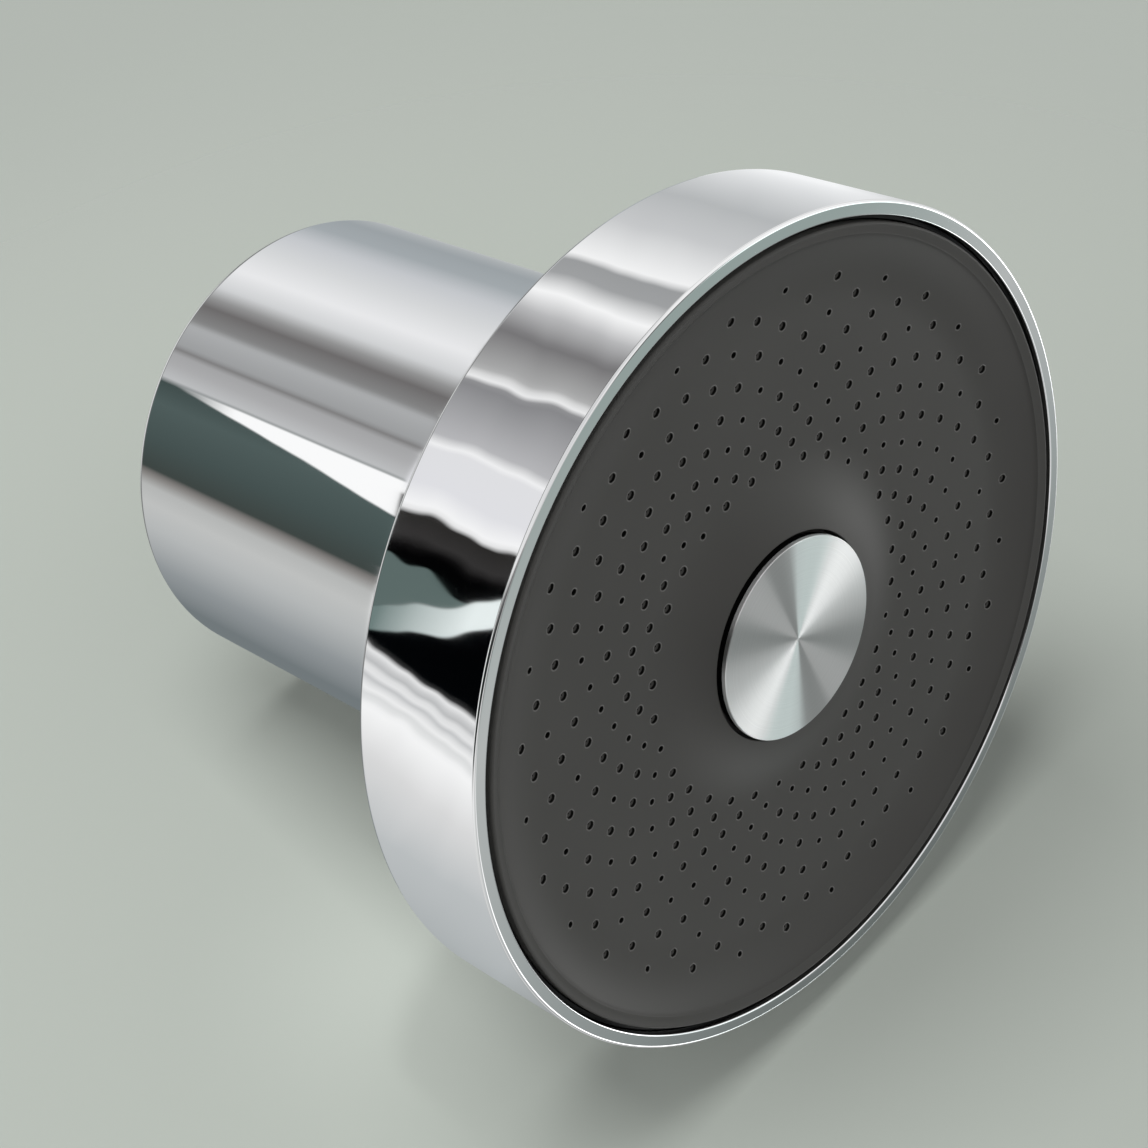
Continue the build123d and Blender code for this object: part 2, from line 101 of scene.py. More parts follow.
def roundedSection(corners, closed=True):
    # corners are (radius, z, round); returns the points and, per span, its ends and both normals
    points, spans, ends = [], [], []
    count = len(corners)
    for i, (r, z, cornerRound) in enumerate(corners):
        here = np.array([r, z], float)
        if not closed and i in (0, count - 1):
            ends.append((len(points), len(points)))
            points.append(here)
            continue
        before = np.array(corners[i - 1][:2], float)
        after = np.array(corners[(i + 1) % count][:2], float)
        goIn, goOut = unit(here - before), unit(after - here)
        turn = math.atan2(goIn[0] * goOut[1] - goIn[1] * goOut[0], goIn @ goOut)
        first = len(points)
        if cornerRound == 0:
            points.append(here)
        else:
            side = math.copysign(1, turn)
            steps = math.ceil(abs(turn) * cornerRound / roundStep)
            steps = min(mostRoundSteps, max(fewestRoundSteps, steps))
            start = here - goIn * cornerRound * math.tan(abs(turn) / 2)
            normalIn = np.array([goIn[1], -goIn[0]])
            centre = start - side * cornerRound * normalIn
            normals = []
            for step in range(steps + 1):
                angle = turn * step / steps
                spin = np.array([[math.cos(angle), -math.sin(angle)], [math.sin(angle), math.cos(angle)]])
                normals.append(spin @ normalIn)
                points.append(centre + side * cornerRound * normals[-1])
            for step in range(steps):
                spans.append((first + step, first + step + 1, normals[step], normals[step + 1]))
        ends.append((first, len(points) - 1))
    for i in range(count if closed else count - 1):
        a, b = ends[i][1], ends[(i + 1) % count][0]
        if np.linalg.norm(points[b] - points[a]) < 1e-4:
            continue
        along = unit(points[b] - points[a])
        normal = np.array([along[1], -along[0]])
        spans.append((a, b, normal, normal))
    return points, spans


class Skin:
    # gathers faces with their corner normals; points that coincide are shared
    def __init__(self):
        self.points, self.index, self.faces, self.normals = [], {}, [], []
        self.tone, self.tones = 0, []

    def point(self, place):
        key = tuple(round(float(v), 4) + 0.0 for v in place)
        if key not in self.index:
            self.index[key] = len(self.points)
            self.points.append(key)
        return self.index[key]

    def face(self, places, normals):
        corners = []
        for place, normal in zip(places, normals):
            corner = self.point(place)
            if corner not in [c for c, n in corners]:
                corners.append((corner, tuple(normal)))
        if len(corners) > 2:
            self.faces.append([c for c, n in corners])
            self.tones.append(self.tone)
            self.normals.extend(n for c, n in corners)

    def rings(self, ringA, ringB, normalsA, normalsB):
        # a strip of quads between two closed rings with the same count
        count = len(ringA)
        for k in range(count):
            m = (k + 1) % count
            self.face([ringA[k], ringA[m], ringB[m], ringB[k]],
                      [normalsA[k], normalsA[m], normalsB[m], normalsB[k]])

    def strip(self, pointA, pointB, normalA, normalB, segments, phase=0.0, centre=(0.0, 0.0)):
        # the band that a span from one (radius, z) to another sweeps round a centre
        circles = [(math.cos(a), math.sin(a)) for a in circleAngles(segments, phase)]
        cx, cy = centre
        places = [[(cx + r * c, cy + r * s, z) for c, s in circles] for r, z in (pointA, pointB)]
        normals = [[(r * c, r * s, z) for c, s in circles] for r, z in (normalA, normalB)]
        self.rings(*places, *normals)

    def lathe(self, corners, segments, phase=0.0, closed=True, centre=(0.0, 0.0)):
        points, spans = roundedSection(corners, closed)
        for a, b, normalA, normalB in spans:
            self.strip(points[a], points[b], normalA, normalB, segments, phase, centre)

    def box(self, low, high, turn=0.0):
        spin = Matrix.Rotation(turn, 3, "Z")
        sides = {(0, 0, -1): (0, 2, 3, 1), (0, 0, 1): (4, 5, 7, 6), (0, -1, 0): (0, 1, 5, 4),
                 (0, 1, 0): (2, 6, 7, 3), (-1, 0, 0): (0, 4, 6, 2), (1, 0, 0): (1, 3, 7, 5)}
        corners = [spin @ Vector(((low, high)[i & 1][0], (low, high)[i >> 1 & 1][1], (low, high)[i >> 2][2]))
                   for i in range(8)]
        for normal, side in sides.items():
            self.face([corners[i] for i in side], [spin @ Vector(normal)] * 4)

    def build(self, name, material, body, replaced=()):
        mesh = bpy.data.meshes.new(name)
        mesh.from_pydata([tuple(v * mm for v in p) for p in self.points], [], self.faces)
        mesh.polygons.foreach_set("use_smooth", [True] * len(mesh.polygons))
        mesh.normals_split_custom_set([unit(n) for n in self.normals])
        for each in material if isinstance(material, list) else [material]:
            mesh.materials.append(each)
        mesh.polygons.foreach_set("material_index", self.tones)
        piece = bpy.data.objects.new(name, mesh)
        bpy.context.scene.collection.objects.link(piece)
        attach(piece, body)
        if replaced:
            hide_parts(*replaced)
        print("built", name, "with", len(self.faces), "faces")
        return piece


def threadRidge(skin, s, inward=False):
    # one continuous helical ridge, tapered out over its first and last half turn
    perTurn = 96
    turns = (s.high - s.low) / s.pitch
    count = int(turns * perTurn)
    foot, crest = s.footWidth / 2, s.crestWidth / 2
    side = -1 if inward else 1
    rows = []
    for step in range(count + 1):
        angle = 2 * math.pi * step / perTurn
        middle = s.low + s.pitch * step / perTurn
        rise = min(1, step / (perTurn / 2), (count - step) / (perTurn / 2))
        top = s.root + (s.crest - s.root) * rise
        base = s.root - side * s.sunk
        radii = [base, s.root, top, top, s.root, base]
        heights = [-foot, -foot, -crest, crest, foot, foot]
        rows.append([onCircle(r, angle, middle + h) for r, h in zip(radii, heights)])
    flank = unit((foot - crest, abs(s.crest - s.root)))
    flat = [(0, -1), (flank[1], -flank[0]), (1, 0), (flank[1], flank[0]), (0, 1), (-1, 0)]
    for step in range(count):
        for j in range(6):
            radial, upward = flat[j]
            angles = [2 * math.pi * each / perTurn for each in (step, step + 1)]
            normals = [onCircle(side * radial, angle, upward) for angle in angles]
            k = (j + 1) % 6
            quad = [rows[step][j], rows[step + 1][j], rows[step + 1][k], rows[step][k]]
            corner = [normals[0], normals[1], normals[1], normals[0]]
            if inward:
                quad, corner = quad[::-1], corner[::-1]
            skin.face(quad, corner)
    for row, way in ((rows[0], -1), (rows[-1], 1)):
        outline = row[::way] if inward else row[::-way]
        across = unit(np.cross(np.subtract(outline[1], outline[0]), np.subtract(outline[4], outline[0])))
        skin.face(outline, [tuple(across)] * 6)


# material helpers

class Signal:
    # a value in a node tree, with the arithmetic that adds math nodes
    def __init__(self, tree, socket):
        self.tree, self.socket = tree, socket

    def math(self, operation, other=0.0):
        node = addNode(self.tree, "Math", {0: self, 1: other}, operation=operation)
        return Signal(self.tree, node.outputs[0])

    def __add__(self, other):
        return self.math("ADD", other)

    def __sub__(self, other):
        return self.math("SUBTRACT", other)

    def __rsub__(self, other):
        return self * -1 + other

    def __mul__(self, other):
        return self.math("MULTIPLY", other)

    def __truediv__(self, other):
        return self.math("DIVIDE", other)

    def to(self, low, high, toLow=0.0, toHigh=1.0, curve="LINEAR"):
        # from one range to another, held at its ends
        node = addNode(self.tree, "MapRange", {"Value": self, "From Min": low, "From Max": high,
                                               "To Min": toLow, "To Max": toHigh}, interpolation_type=curve)
        return Signal(self.tree, node.outputs["Result"])


def connect(tree, value, socket):
    # a signal or socket is linked, and anything else is set
    value = value.socket if isinstance(value, Signal) else value
    if isinstance(value, bpy.types.NodeSocket):
        tree.links.new(value, socket)
    elif isinstance(value, tuple) and socket.type == "RGBA":
        socket.default_value = (*value, 1)
    else:
        socket.default_value = value


def addNode(tree, kind, inputs=None, **settings):
    node = tree.nodes.new("ShaderNode" + kind)
    for name, value in settings.items():
        setattr(node, name, value)
    for socket, value in (inputs or {}).items():
        connect(tree, value, node.inputs[socket])
    return node


def newMaterial(name):
    material = bpy.data.materials.new(name)
    material.use_nodes = True
    tree = material.node_tree
    tree.nodes.clear()
    shader = addNode(tree, "BsdfPrincipled")
    addNode(tree, "OutputMaterial", {"Surface": shader.outputs["BSDF"]})
    return material, tree, shader


def finish(tree, shader, inputs):
    for name, value in inputs.items():
        connect(tree, value, shader.inputs[name])


def ramp(tree, factor, stops):
    node = addNode(tree, "ValToRGB", {"Fac": factor})
    elements = node.color_ramp.elements
    while len(elements) < len(stops):
        elements.new(0.5)
    for element, (place, colour) in zip(elements, sorted(stops)):
        element.position = place
        element.color = (*colour, 1)
    return node.outputs["Color"]


def three(tones):
    # a band's colour, which a grey gives as one number
    return tones if isinstance(tones, tuple) else (tones, tones, tones)


def linear(tone):
    # a display tone from 0 to 1 as the light that gives it
    return tone / 12.92 if tone <= 0.04045 else ((tone + 0.055) / 1.055) ** 2.4


def tint(*tones):
    return tuple(linear(tone) for tone in tones)


def separate(tree, vector):
    parts = addNode(tree, "SeparateXYZ", {"Vector": vector})
    return [Signal(tree, parts.outputs[i]) for i in range(3)]


def bearingOf(x, y):
    # in degrees
    return y.math("ARCTAN2", x) * (180 / math.pi)


def lengthOf(x, y):
    return (x * x + y * y).math("SQRT")


def objectNoise(tree, scale, detail=2.0):
    coords = addNode(tree, "TexCoord")
    noise = addNode(tree, "TexNoise", {"Vector": coords.outputs["Object"], "Scale": scale, "Detail": detail})
    return Signal(tree, noise.outputs["Fac"])


def bump(tree, height, distance, strength=1.0):
    node = addNode(tree, "Bump", {"Height": height, "Distance": distance, "Strength": strength})
    return node.outputs["Normal"]


def mixColours(tree, factor, a, b, blend="MIX"):
    node = addNode(tree, "Mix", data_type="RGBA", blend_type=blend)
    for name, value in (("Factor_Float", factor), ("A_Color", a), ("B_Color", b)):
        connect(tree, value, next(s for s in node.inputs if s.identifier == name))
    return next(s for s in node.outputs if s.identifier == "Result_Color")


# finishes

chrome = {
    "colour": (0.93, 0.935, 0.94), "roughness": (0.015, 0.03), "smudgeScale": 140,
    "waveScale": 60.0, "waveHeight": 0.00002,
}


def makeChrome(name, s):
    material, tree, shader = newMaterial(name)
    smudge = objectNoise(tree, s.smudgeScale, detail=4)
    wave = objectNoise(tree, s.waveScale, detail=1)
    finish(tree, shader, {"Base Color": s.colour, "Metallic": 1.0, "Normal": bump(tree, wave, s.waveHeight),
                          "Roughness": smudge.to(0, 1, *s.roughness)})
    return material


graphite = {
    "colours": (tint(0.286, 0.284, 0.276), tint(0.310, 0.308, 0.300)), "roughness": (0.38, 0.45),
    "specular": 0.13, "cloudScale": 45, "grainScale": 2600, "grainHeight": 0.000006, "grainStrength": 0.6,
}


def makeGraphite(name, s):
    # moulded satin plastic with a fine even grain
    material, tree, shader = newMaterial(name)
    cloud = objectNoise(tree, s.cloudScale, detail=3)
    grain = objectNoise(tree, s.grainScale)
    finish(tree, shader, {"Base Color": mixColours(tree, cloud, *s.colours),
                          "Specular IOR Level": s.specular, "Roughness": cloud.to(0, 1, *s.roughness),
                          "Normal": bump(tree, grain, s.grainHeight, s.grainStrength)})
    return material


spunCap = {
    "colour": (0.88, 0.89, 0.885), "shade": 0.86, "roughness": 0.33, "anisotropy": 1.0, "quarterTurn": 0.25,
    "lineScale": 5200, "lineHeight": 0.0000015,
}
# painted reflection: the light and dark sectors that the turned lines catch, painted into the cap's colour
# by direction round the cap in degrees
paintedCapReflection = [
    (0, 1.0), (22, (1.0, 0.99, 0.99)), (28, (0.96, 0.95, 0.95)), (46, (0.94, 0.93, 0.93)),
    (53, (1.0, 0.98, 0.98)), (73, (1.0, 0.98, 0.98)), (79, (0.78, 0.77, 0.77)), (95, (0.72, 0.71, 0.71)),
    (102, (0.98, 1.0, 1.0)), (112, (0.92, 0.95, 0.945)), (127, (0.74, 0.77, 0.765)), (135, 0.70),
    (144, 0.76), (153, 0.82), (162, 0.94), (171, 1.0), (180, 1.0),
]


def makeSpunMetal(s):
    # aluminium turned on a lathe: the lines run round the centre, and a painted reflection fan lightens and
    # darkens its colour by direction
    material, tree, shader = newMaterial("spunAluminium")
    tangent = addNode(tree, "Tangent", direction_type="RADIAL", axis="Z")
    coords = addNode(tree, "TexCoord")
    x, y, z = separate(tree, coords.outputs["Object"])
    lines = addNode(tree, "TexNoise", {"W": lengthOf(x, y) * s.lineScale, "Scale": 1.0, "Detail": 2.0},
                    noise_dimensions="1D").outputs["Fac"]
    around = bearingOf(x, y) / 180
    around = around + around.math("LESS_THAN")
    # painted reflection: the fan of light and dark sectors, multiplied into the metal's colour
    fan = ramp(tree, around, [(angle / 180, three(tones)) for angle, tones in paintedCapReflection])
    metal = mixColours(tree, lines, tuple(s.shade * v for v in s.colour), s.colour)
    finish(tree, shader, {"Base Color": mixColours(tree, 1.0, metal, fan, "MULTIPLY"), "Metallic": 1.0,
                          "Roughness": s.roughness, "Anisotropic": s.anisotropy,
                          "Anisotropic Rotation": s.quarterTurn, "Tangent": tangent.outputs["Tangent"],
                          "Normal": bump(tree, lines, s.lineHeight)})
    return material


def makePlain(name, colours, roughness, metallic=0.0, scale=300, height=0.00001, transmission=0.0):
    # a two-tone noise finish for the small and hidden pieces
    material, tree, shader = newMaterial(name)
    noise = objectNoise(tree, scale, detail=4)
    finish(tree, shader, {"Base Color": mixColours(tree, noise, *colours), "Metallic": metallic,
                          "Roughness": noise.to(0, 1, *roughness), "Transmission Weight": transmission,
                          "Normal": bump(tree, noise, height)})
    return material


def makeGranules(name, colours, scale, height=-0.0004, roughness=0.6):
    material, tree, shader = newMaterial(name)
    coords = addNode(tree, "TexCoord")
    cells = addNode(tree, "TexVoronoi", {"Vector": coords.outputs["Object"], "Scale": scale})
    finish(tree, shader, {"Base Color": mixColours(tree, cells.outputs["Color"], *colours),
                          "Roughness": roughness, "Normal": bump(tree, cells.outputs["Distance"], height)})
    return material


brassChrome = {**chrome, "waveScale": 90.0, "waveHeight": 0.00001}
finishes = {
    "chrome_plate": makeChrome("chromePlate", Settings(**chrome)),
    "plated_brass": makeChrome("platedBrass", Settings(**brassChrome)),
    "face_graphite": makeGraphite("faceGraphite", Settings(**graphite)),
    "spun_aluminium": makeSpunMetal(Settings(**spunCap)),
    "black_gloss": makePlain("blackGloss", ((0.004, 0.004, 0.004), (0.006, 0.006, 0.006)), (0.08, 0.12)),
    "screw_steel": makePlain("screwSteel", ((0.50, 0.50, 0.49), (0.58, 0.58, 0.57)), (0.25, 0.4), 1.0, 900),
    "screen_steel": makePlain("screenSteel", ((0.48, 0.48, 0.46), (0.6, 0.6, 0.58)), (0.3, 0.4), 1.0, 1500),
    "seal_rubber": makePlain("sealRubber", ((0.012, 0.012, 0.012), (0.02, 0.02, 0.02)), (0.5, 0.65)),
    "seat_acetal": makePlain("seatAcetal", ((0.72, 0.72, 0.69), (0.78, 0.78, 0.75)), (0.35, 0.5)),
    "restrictor_plastic": makePlain("restrictorPlastic", ((0.02, 0.16, 0.08), (0.03, 0.2, 0.1)),
                                    (0.35, 0.5)),
    "white_plastic": makePlain("whitePlastic", ((0.68, 0.69, 0.68), (0.75, 0.76, 0.75)), (0.35, 0.5)),
    "clear_plastic": makePlain("milkyPlastic", ((0.7, 0.73, 0.74), (0.8, 0.83, 0.84)), (0.2, 0.3),
                               transmission=0.6),
    "filter_felt": makePlain("filterFelt", ((0.62, 0.62, 0.6), (0.78, 0.78, 0.75)), (0.85, 1.0), 0.0, 1800,
                             0.0003),
    "sulfite_granules": makeGranules("sulfiteGranules", ((0.62, 0.61, 0.56), (0.8, 0.79, 0.74)), 420),
    "copper_zinc_granules": makeGranules("copperZincGranules", ((0.35, 0.22, 0.07), (0.55, 0.4, 0.16)), 900),
}
for part in frame["record"]["subparts"]:
    slots = nodes[part["node"]].data.materials
    slots.clear()
    slots.append(finishes[part["material_slot"]])
print("finishes ready:", len(finishes))


# head shell

headShell = {
    "rimWidth": 2.15, "rimRound": 0.45, "rimInnerRound": 0.25, "backRound": 0.8,
    "backWall": 2.6, "depth": 22.6, "rimGapDepth": 3.4, "bore": 60.55, "ledgeBore": 58.55,
    "ledgeLow": 11.0, "ledgeHigh": 13.0, "portRadius": 12.1, "portCollarRadius": 14.3, "portCollarLow": 14.6,
    "collarRadius": 36.0, "collarBore": 32.6, "threadRoot": 35.0, "land": 2.6, "edgeRound": 0.2,
    "hubRadius": 5.0, "hubLow": 15.5, "pilotRadius": 2.0, "ribWidth": 2.0, "ribHeight": 3.0, "ribs": 3,
    "segments": 480,
}
collarThread = {"root": 35.0, "crest": 35.95, "sunk": 0.3, "pitch": 3.0, "footWidth": 1.7, "crestWidth": 0.7,
                "low": 26.2, "high": 32.0}


def makeHeadShell(s):
    skin = Skin()
    radius, edge = headHigh.x, s.edgeRound
    inner = radius - s.rimWidth
    wall = s.depth - s.backWall
    collarTop = headHigh.z
    skin.lathe([
        (radius, 0, s.rimRound), (radius, s.depth, s.backRound),
        (s.collarRadius, s.depth, edge), (s.collarRadius, s.depth + s.land, edge),
        (s.threadRoot, s.depth + s.land, edge), (s.threadRoot, collarTop - s.land, edge),
        (s.collarRadius, collarTop - s.land, edge), (s.collarRadius, collarTop, edge),
        (s.collarBore, collarTop, edge), (s.collarBore, s.depth, edge),
        (s.portRadius, s.depth, edge), (s.portRadius, s.portCollarLow, edge),
        (s.portCollarRadius, s.portCollarLow, edge), (s.portCollarRadius, wall, edge),
        (s.bore, wall, edge), (s.bore, s.ledgeHigh, edge),
        (s.ledgeBore, s.ledgeHigh, edge), (s.ledgeBore, s.ledgeLow, edge),
        (s.bore, s.ledgeLow, edge), (s.bore, s.rimGapDepth, edge),
        (inner, s.rimGapDepth, edge), (inner, 0, s.rimInnerRound),
    ], s.segments)
    hub = [(s.hubRadius, s.hubLow, edge), (s.hubRadius, s.depth, edge), (0, s.depth, 0),
           (0, s.depth - s.ribHeight / 3, 0), (s.pilotRadius, s.depth - s.ribHeight / 3, edge),
           (s.pilotRadius, s.hubLow, edge)]
    skin.lathe(hub, 48, closed=True)
    for rib in range(s.ribs):
        low = (s.hubRadius - 1, -s.ribWidth / 2, s.depth - s.ribHeight)
        high = (s.portRadius + 1, s.ribWidth / 2, s.depth - 0.02)
        skin.box(low, high, 2 * math.pi * rib / s.ribs)
    threadRidge(skin, Settings(**collarThread))
    return skin.build("headShell", finishes["chrome_plate"], "head", ["head_shell"])


makeHeadShell(Settings(**headShell))


# spray face

sprayFace = {
    "lip": (16.05, 1.8, 0.15), "foot": (22.1, 4.75, 26.0), "knee": (53.6, 3.25, 24.0),
    "edge": (60.45, -0.14, 0.35), "ridge": (58.75, 0.16, 0.06), "hillFoot": 1.5,
    "skin": 2.4, "skirtWall": 2.6, "backZ": 9.0, "skirtBore": 56.65,
    "pocketFloor": 5.2, "pocketWall": 18.05, "pocketRingOuter": 12.4, "pocketRingInner": 10.4,
    "pocketRingLow": 3.5, "hub": 5.0, "screwHole": 2.15,
    "sealInner": 59.11, "sealLow": 6.48, "sealHigh": 7.92, "bossCircle": 20.5,
    "bossRadius": 3.0, "bossSunk": 0.4, "bosses": 6,
}
outlets = {
    "rings": 11, "perRing": 30, "firstRadius": 26.4, "step": 2.61, "turn": math.radians(31),
    "fineRadius": 0.46, "wideRadius": 0.66, "lipRound": 0.08, "beadHeight": 0.03, "beadWidth": 0.2,
    "beadLean": 0.45,
    "wideDepth": 0.45, "boreRadius": 0.16, "boreDepth": 0.8, "zigzagPeriod": 12, "zigzagRepeat": 4,
    "arcSteps": 8, "sideSteps": 4,
    # the edge's lighter tone is a painted highlight and the wall's darker tone is painted shade
    "outletEdge": {"colours": (tint(0.40, 0.398, 0.39), tint(0.42, 0.418, 0.41))},
    "outletWall": {"colours": (tint(0.09, 0.09, 0.085), tint(0.11, 0.11, 0.105)), "specular": 0.15},
    "outletFloor": {"colours": (tint(0.29, 0.288, 0.28), tint(0.31, 0.308, 0.30)), "specular": 0.1},
}
skirtFrom = 5.0  # the dish's front lies below this height, and the skirt above it


def frontCurve(s):
    # the dish from the lip by the cap to the skirt, with large soft rounds
    top = (faceHigh.x, s.backZ, 0)
    points, spans = roundedSection([s.lip[:2] + (0,), s.foot, s.knee, s.edge, top], False)
    radius, half, height = s.ridge
    ridge = [(radius + half * k / 3, height * (1 - (k / 3) ** 2)) for k in range(-3, 4)]
    bare = list(points)
    points = [p for p in points if abs(p[0] - radius) > half or p[1] > skirtFrom]
    start = next(i for i, p in enumerate(points) if p[0] > radius)
    points[start:start] = [np.array([r, heightOn(bare, r) - rise]) for r, rise in ridge]
    return points


def heightOn(points, radius):
    dish = sorted((p[0], p[1]) for p in points if p[1] < skirtFrom)
    return float(np.interp(radius, *zip(*dish)))


def isFine(spoke, ring, s):
    step = spoke % s.zigzagPeriod
    zigzag = min(step, s.zigzagPeriod - step)
    return ring == zigzag or (spoke % 2 == 0 and ring > zigzag and (ring - step) % s.zigzagRepeat == 0)


def cellOutline(inner, outer, middle, half, s, place):
    # points round a cell of the dish, starting at the inner arc's first corner
    arc = [middle - half + 2 * half * k / s.arcSteps for k in range(s.arcSteps + 1)]
    side = [inner + (outer - inner) * k / s.sideSteps for k in range(s.sideSteps + 1)]
    polar = [(inner, a) for a in arc] + [(r, arc[-1]) for r in side[1:]]
    polar += [(outer, a) for a in arc[-2::-1]] + [(r, arc[0]) for r in side[-2:0:-1]]
    return [place(r, a) for r, a in polar]


def outletCell(skin, ring, spoke, s, front, back, normalOn):
    # one outlet and the cell of the dish round it
    middle = s.turn + spoke * math.pi / s.perRing
    radius = s.firstRadius + ring * s.step
    inner, outer = radius - s.step / 2, radius + s.step / 2
    half = math.pi / s.perRing
    centre = np.array(onCircle(radius, middle)[:2])
    outline = cellOutline(inner, outer, middle, half, s, front)
    behind = cellOutline(inner, outer, middle, half, s, back)
    bearings = [math.atan2(p[1] - centre[1], p[0] - centre[0]) for p in outline]
    fine = isFine(spoke, ring, s)
    holeRadius = s.fineRadius if fine else s.wideRadius
    slope = front(radius + 0.5, middle)[2] - front(radius - 0.5, middle)[2]
    down = unit(onCircle(slope, middle, -1))
    surfaceZ = front(radius, middle)[2]

    def circle(r, depth):
        places = []
        for bearing in bearings:
            x, y = centre + r * np.array([math.cos(bearing), math.sin(bearing)])
            places.append((x, y, surfaceZ + slope * (math.hypot(x, y) - radius) + depth))
        return places

    outward = [np.array(onCircle(1, b)) for b in bearings]
    inward = [-o for o in outward]
    flat, up = [down] * len(bearings), [(0, 0, 1)] * len(bearings)
    lip, bead, beadWidth = s.lipRound, s.beadHeight, s.beadWidth
    leaning = [unit(down + s.beadLean * o) for o in outward]
    foot = circle(holeRadius + beadWidth, 0)
    rows = [(ring, [normalOn(p[0], p[1]) for p in ring]) for ring in (outline, foot)]
    rows.append((circle(holeRadius + beadWidth * 0.75, -bead / 2), leaning))
    rows.append((circle(holeRadius + lip, -bead), flat))
    for angle in (math.pi / 6, math.pi / 3, math.pi / 2):
        normal = [math.cos(angle) * down - math.sin(angle) * o for o in outward]
        sunk = lip * (1 - math.cos(angle)) - bead
        rows.append((circle(holeRadius + lip * (1 - math.sin(angle)), sunk), normal))
    lipRows = len(rows) - 1
    if fine:
        bottom = [(x, y, back(math.hypot(x, y), 0)[2]) for x, y, z in circle(holeRadius, 0)]
        rows += [(bottom, inward), (bottom, up), (behind, up)]
    else:
        floor, bore = s.wideDepth, s.boreRadius
        end = floor + s.boreDepth
        for r, depth, normal in ((holeRadius, floor, inward), (holeRadius, floor, flat), (bore, floor, flat),
                                 (bore, floor, inward), (bore, end, inward), (0.0, end, flat)):
            rows.append((circle(r, depth), normal))
        skin.rings([back(radius, middle)] * len(behind), behind, up, up)
    for i, ((ringA, normalsA), (ringB, normalsB)) in enumerate(zip(rows, rows[1:])):
        # materials: 0 the face, 1 the edge, lighter as a painted highlight, 2 the wall, darker as painted
        # shade, 3 the floor
        if i == 0 or (fine and i > lipRows):
            skin.tone = 0
        elif i < lipRows:
            skin.tone = 1
        else:
            skin.tone = 3 if not fine and i == lipRows + 2 else 2
        skin.rings(ringA, ringB, normalsA, normalsB)
    skin.tone = 0


def makeSprayFace(s, o):
    skin = Skin()
    points = frontCurve(s)
    plateInner = o.firstRadius - o.step / 2
    plateOuter = o.firstRadius + (o.rings - 0.5) * o.step
    segments = o.perRing * o.arcSteps
    backInner, backOuter = s.foot[1] + s.skin, s.knee[1] + s.skin

    def front(radius, angle):
        return onCircle(radius, angle, heightOn(points, radius))

    def back(radius, angle):
        share = (radius - plateInner) / (plateOuter - plateInner)
        return onCircle(radius, angle, backInner + (backOuter - backInner) * share)

    def slopeAt(radius, reach=0.6):
        return (heightOn(points, radius + reach) - heightOn(points, radius - reach)) / (2 * reach)

    def normalOn(x, y):
        radius = math.hypot(x, y)
        slope = slopeAt(radius)
        return unit((slope * x / radius, slope * y / radius, -1))

    def frontBand(low, high):
        kept = [(r, z) for r, z in points if low < r < high and z < s.backZ]
        return [(low, heightOn(points, low))] + [tuple(p) for p in kept] + [(high, heightOn(points, high))]

    def smoothBand(band):
        # a lathe strip whose normals follow the curve
        steps = [unit(np.subtract(b, a)) for a, b in zip(band, band[1:])]
        tangents = [steps[0]] + [unit(a + b) for a, b in zip(steps, steps[1:])] + [steps[-1]]
        normals = [(t[1], -t[0]) for t in tangents]
        for i, (r, z) in enumerate(band):
            if lipR + s.hillFoot < r < s.ridge[0] - s.ridge[1]:
                normals[i] = unit((slopeAt(r), -1))
        for i in range(len(band) - 1):
            skin.strip(band[i], band[i + 1], normals[i], normals[i + 1], segments, o.turn)

    # front: hill, outlets, edge slope and the round over the rim gap
    lipR, lipZ, lipRound = s.lip
    smoothBand(frontBand(lipR + lipRound, plateInner))
    outerCurve = [tuple(p) for p in points
                  if p[0] > plateOuter and not (p[0] > faceHigh.x - 0.001 and p[1] > skirtFrom)]
    smoothBand([(plateOuter, heightOn(points, plateOuter))] + outerCurve)
    for ring in range(o.rings):
        for index in range(o.perRing):
            outletCell(skin, ring, 2 * index + ring % 2, o, front, back, normalOn)
    # skirt with its seal groove, back of the dish, pocket for the cap
    seal, floor, backZ, wide = s.sealInner, s.pocketFloor, s.backZ, faceHigh.x
    rest = [outerCurve[-1] + (0,), (wide, s.sealLow, 0.1), (seal, s.sealLow, 0), (seal, s.sealHigh, 0),
            (wide, s.sealHigh, 0.1), (wide, faceHigh.z, 0.2),
            (wide - s.skirtWall, faceHigh.z, 0.2), (wide - s.skirtWall, backZ, 0),
            (s.skirtBore, backZ, 0.1), (s.skirtBore, backOuter, 0), (plateOuter, backOuter, 0)]
    skin.lathe(rest, segments, o.turn, closed=False)
    pocket = [(plateInner, backInner, 0), (s.pocketWall, backInner, 0), (s.pocketWall, floor + s.skin, 0),
              (s.hub, floor + s.skin, 0), (s.hub, backZ, 0), (s.screwHole, backZ, 0),
              (s.screwHole, floor, 0), (s.pocketRingInner, floor, 0),
              (s.pocketRingInner, s.pocketRingLow, 0.1), (s.pocketRingOuter, s.pocketRingLow, 0.1),
              (s.pocketRingOuter, floor, 0), (lipR, floor, 0),
              (lipR, lipZ, lipRound), (lipR + lipRound, heightOn(points, lipR + lipRound), 0)]
    skin.lathe(pocket, segments, o.turn, closed=False)
    bossFoot = backInner - s.bossSunk
    boss = [(s.bossRadius, bossFoot, 0), (s.bossRadius, backZ, 0.1), (0, backZ, 0), (0, bossFoot, 0)]
    for bearing in circleAngles(s.bosses):
        skin.lathe(boss, 32, centre=onCircle(s.bossCircle, bearing)[:2])
    materials = [finishes["face_graphite"]]
    for name in ("outletEdge", "outletWall", "outletFloor"):
        materials.append(makeGraphite(name, Settings(**{**graphite, **getattr(o, name)})))
    return skin.build("sprayFace", materials, "head", ["spray_face"])


makeSprayFace(Settings(**sprayFace), Settings(**outlets))

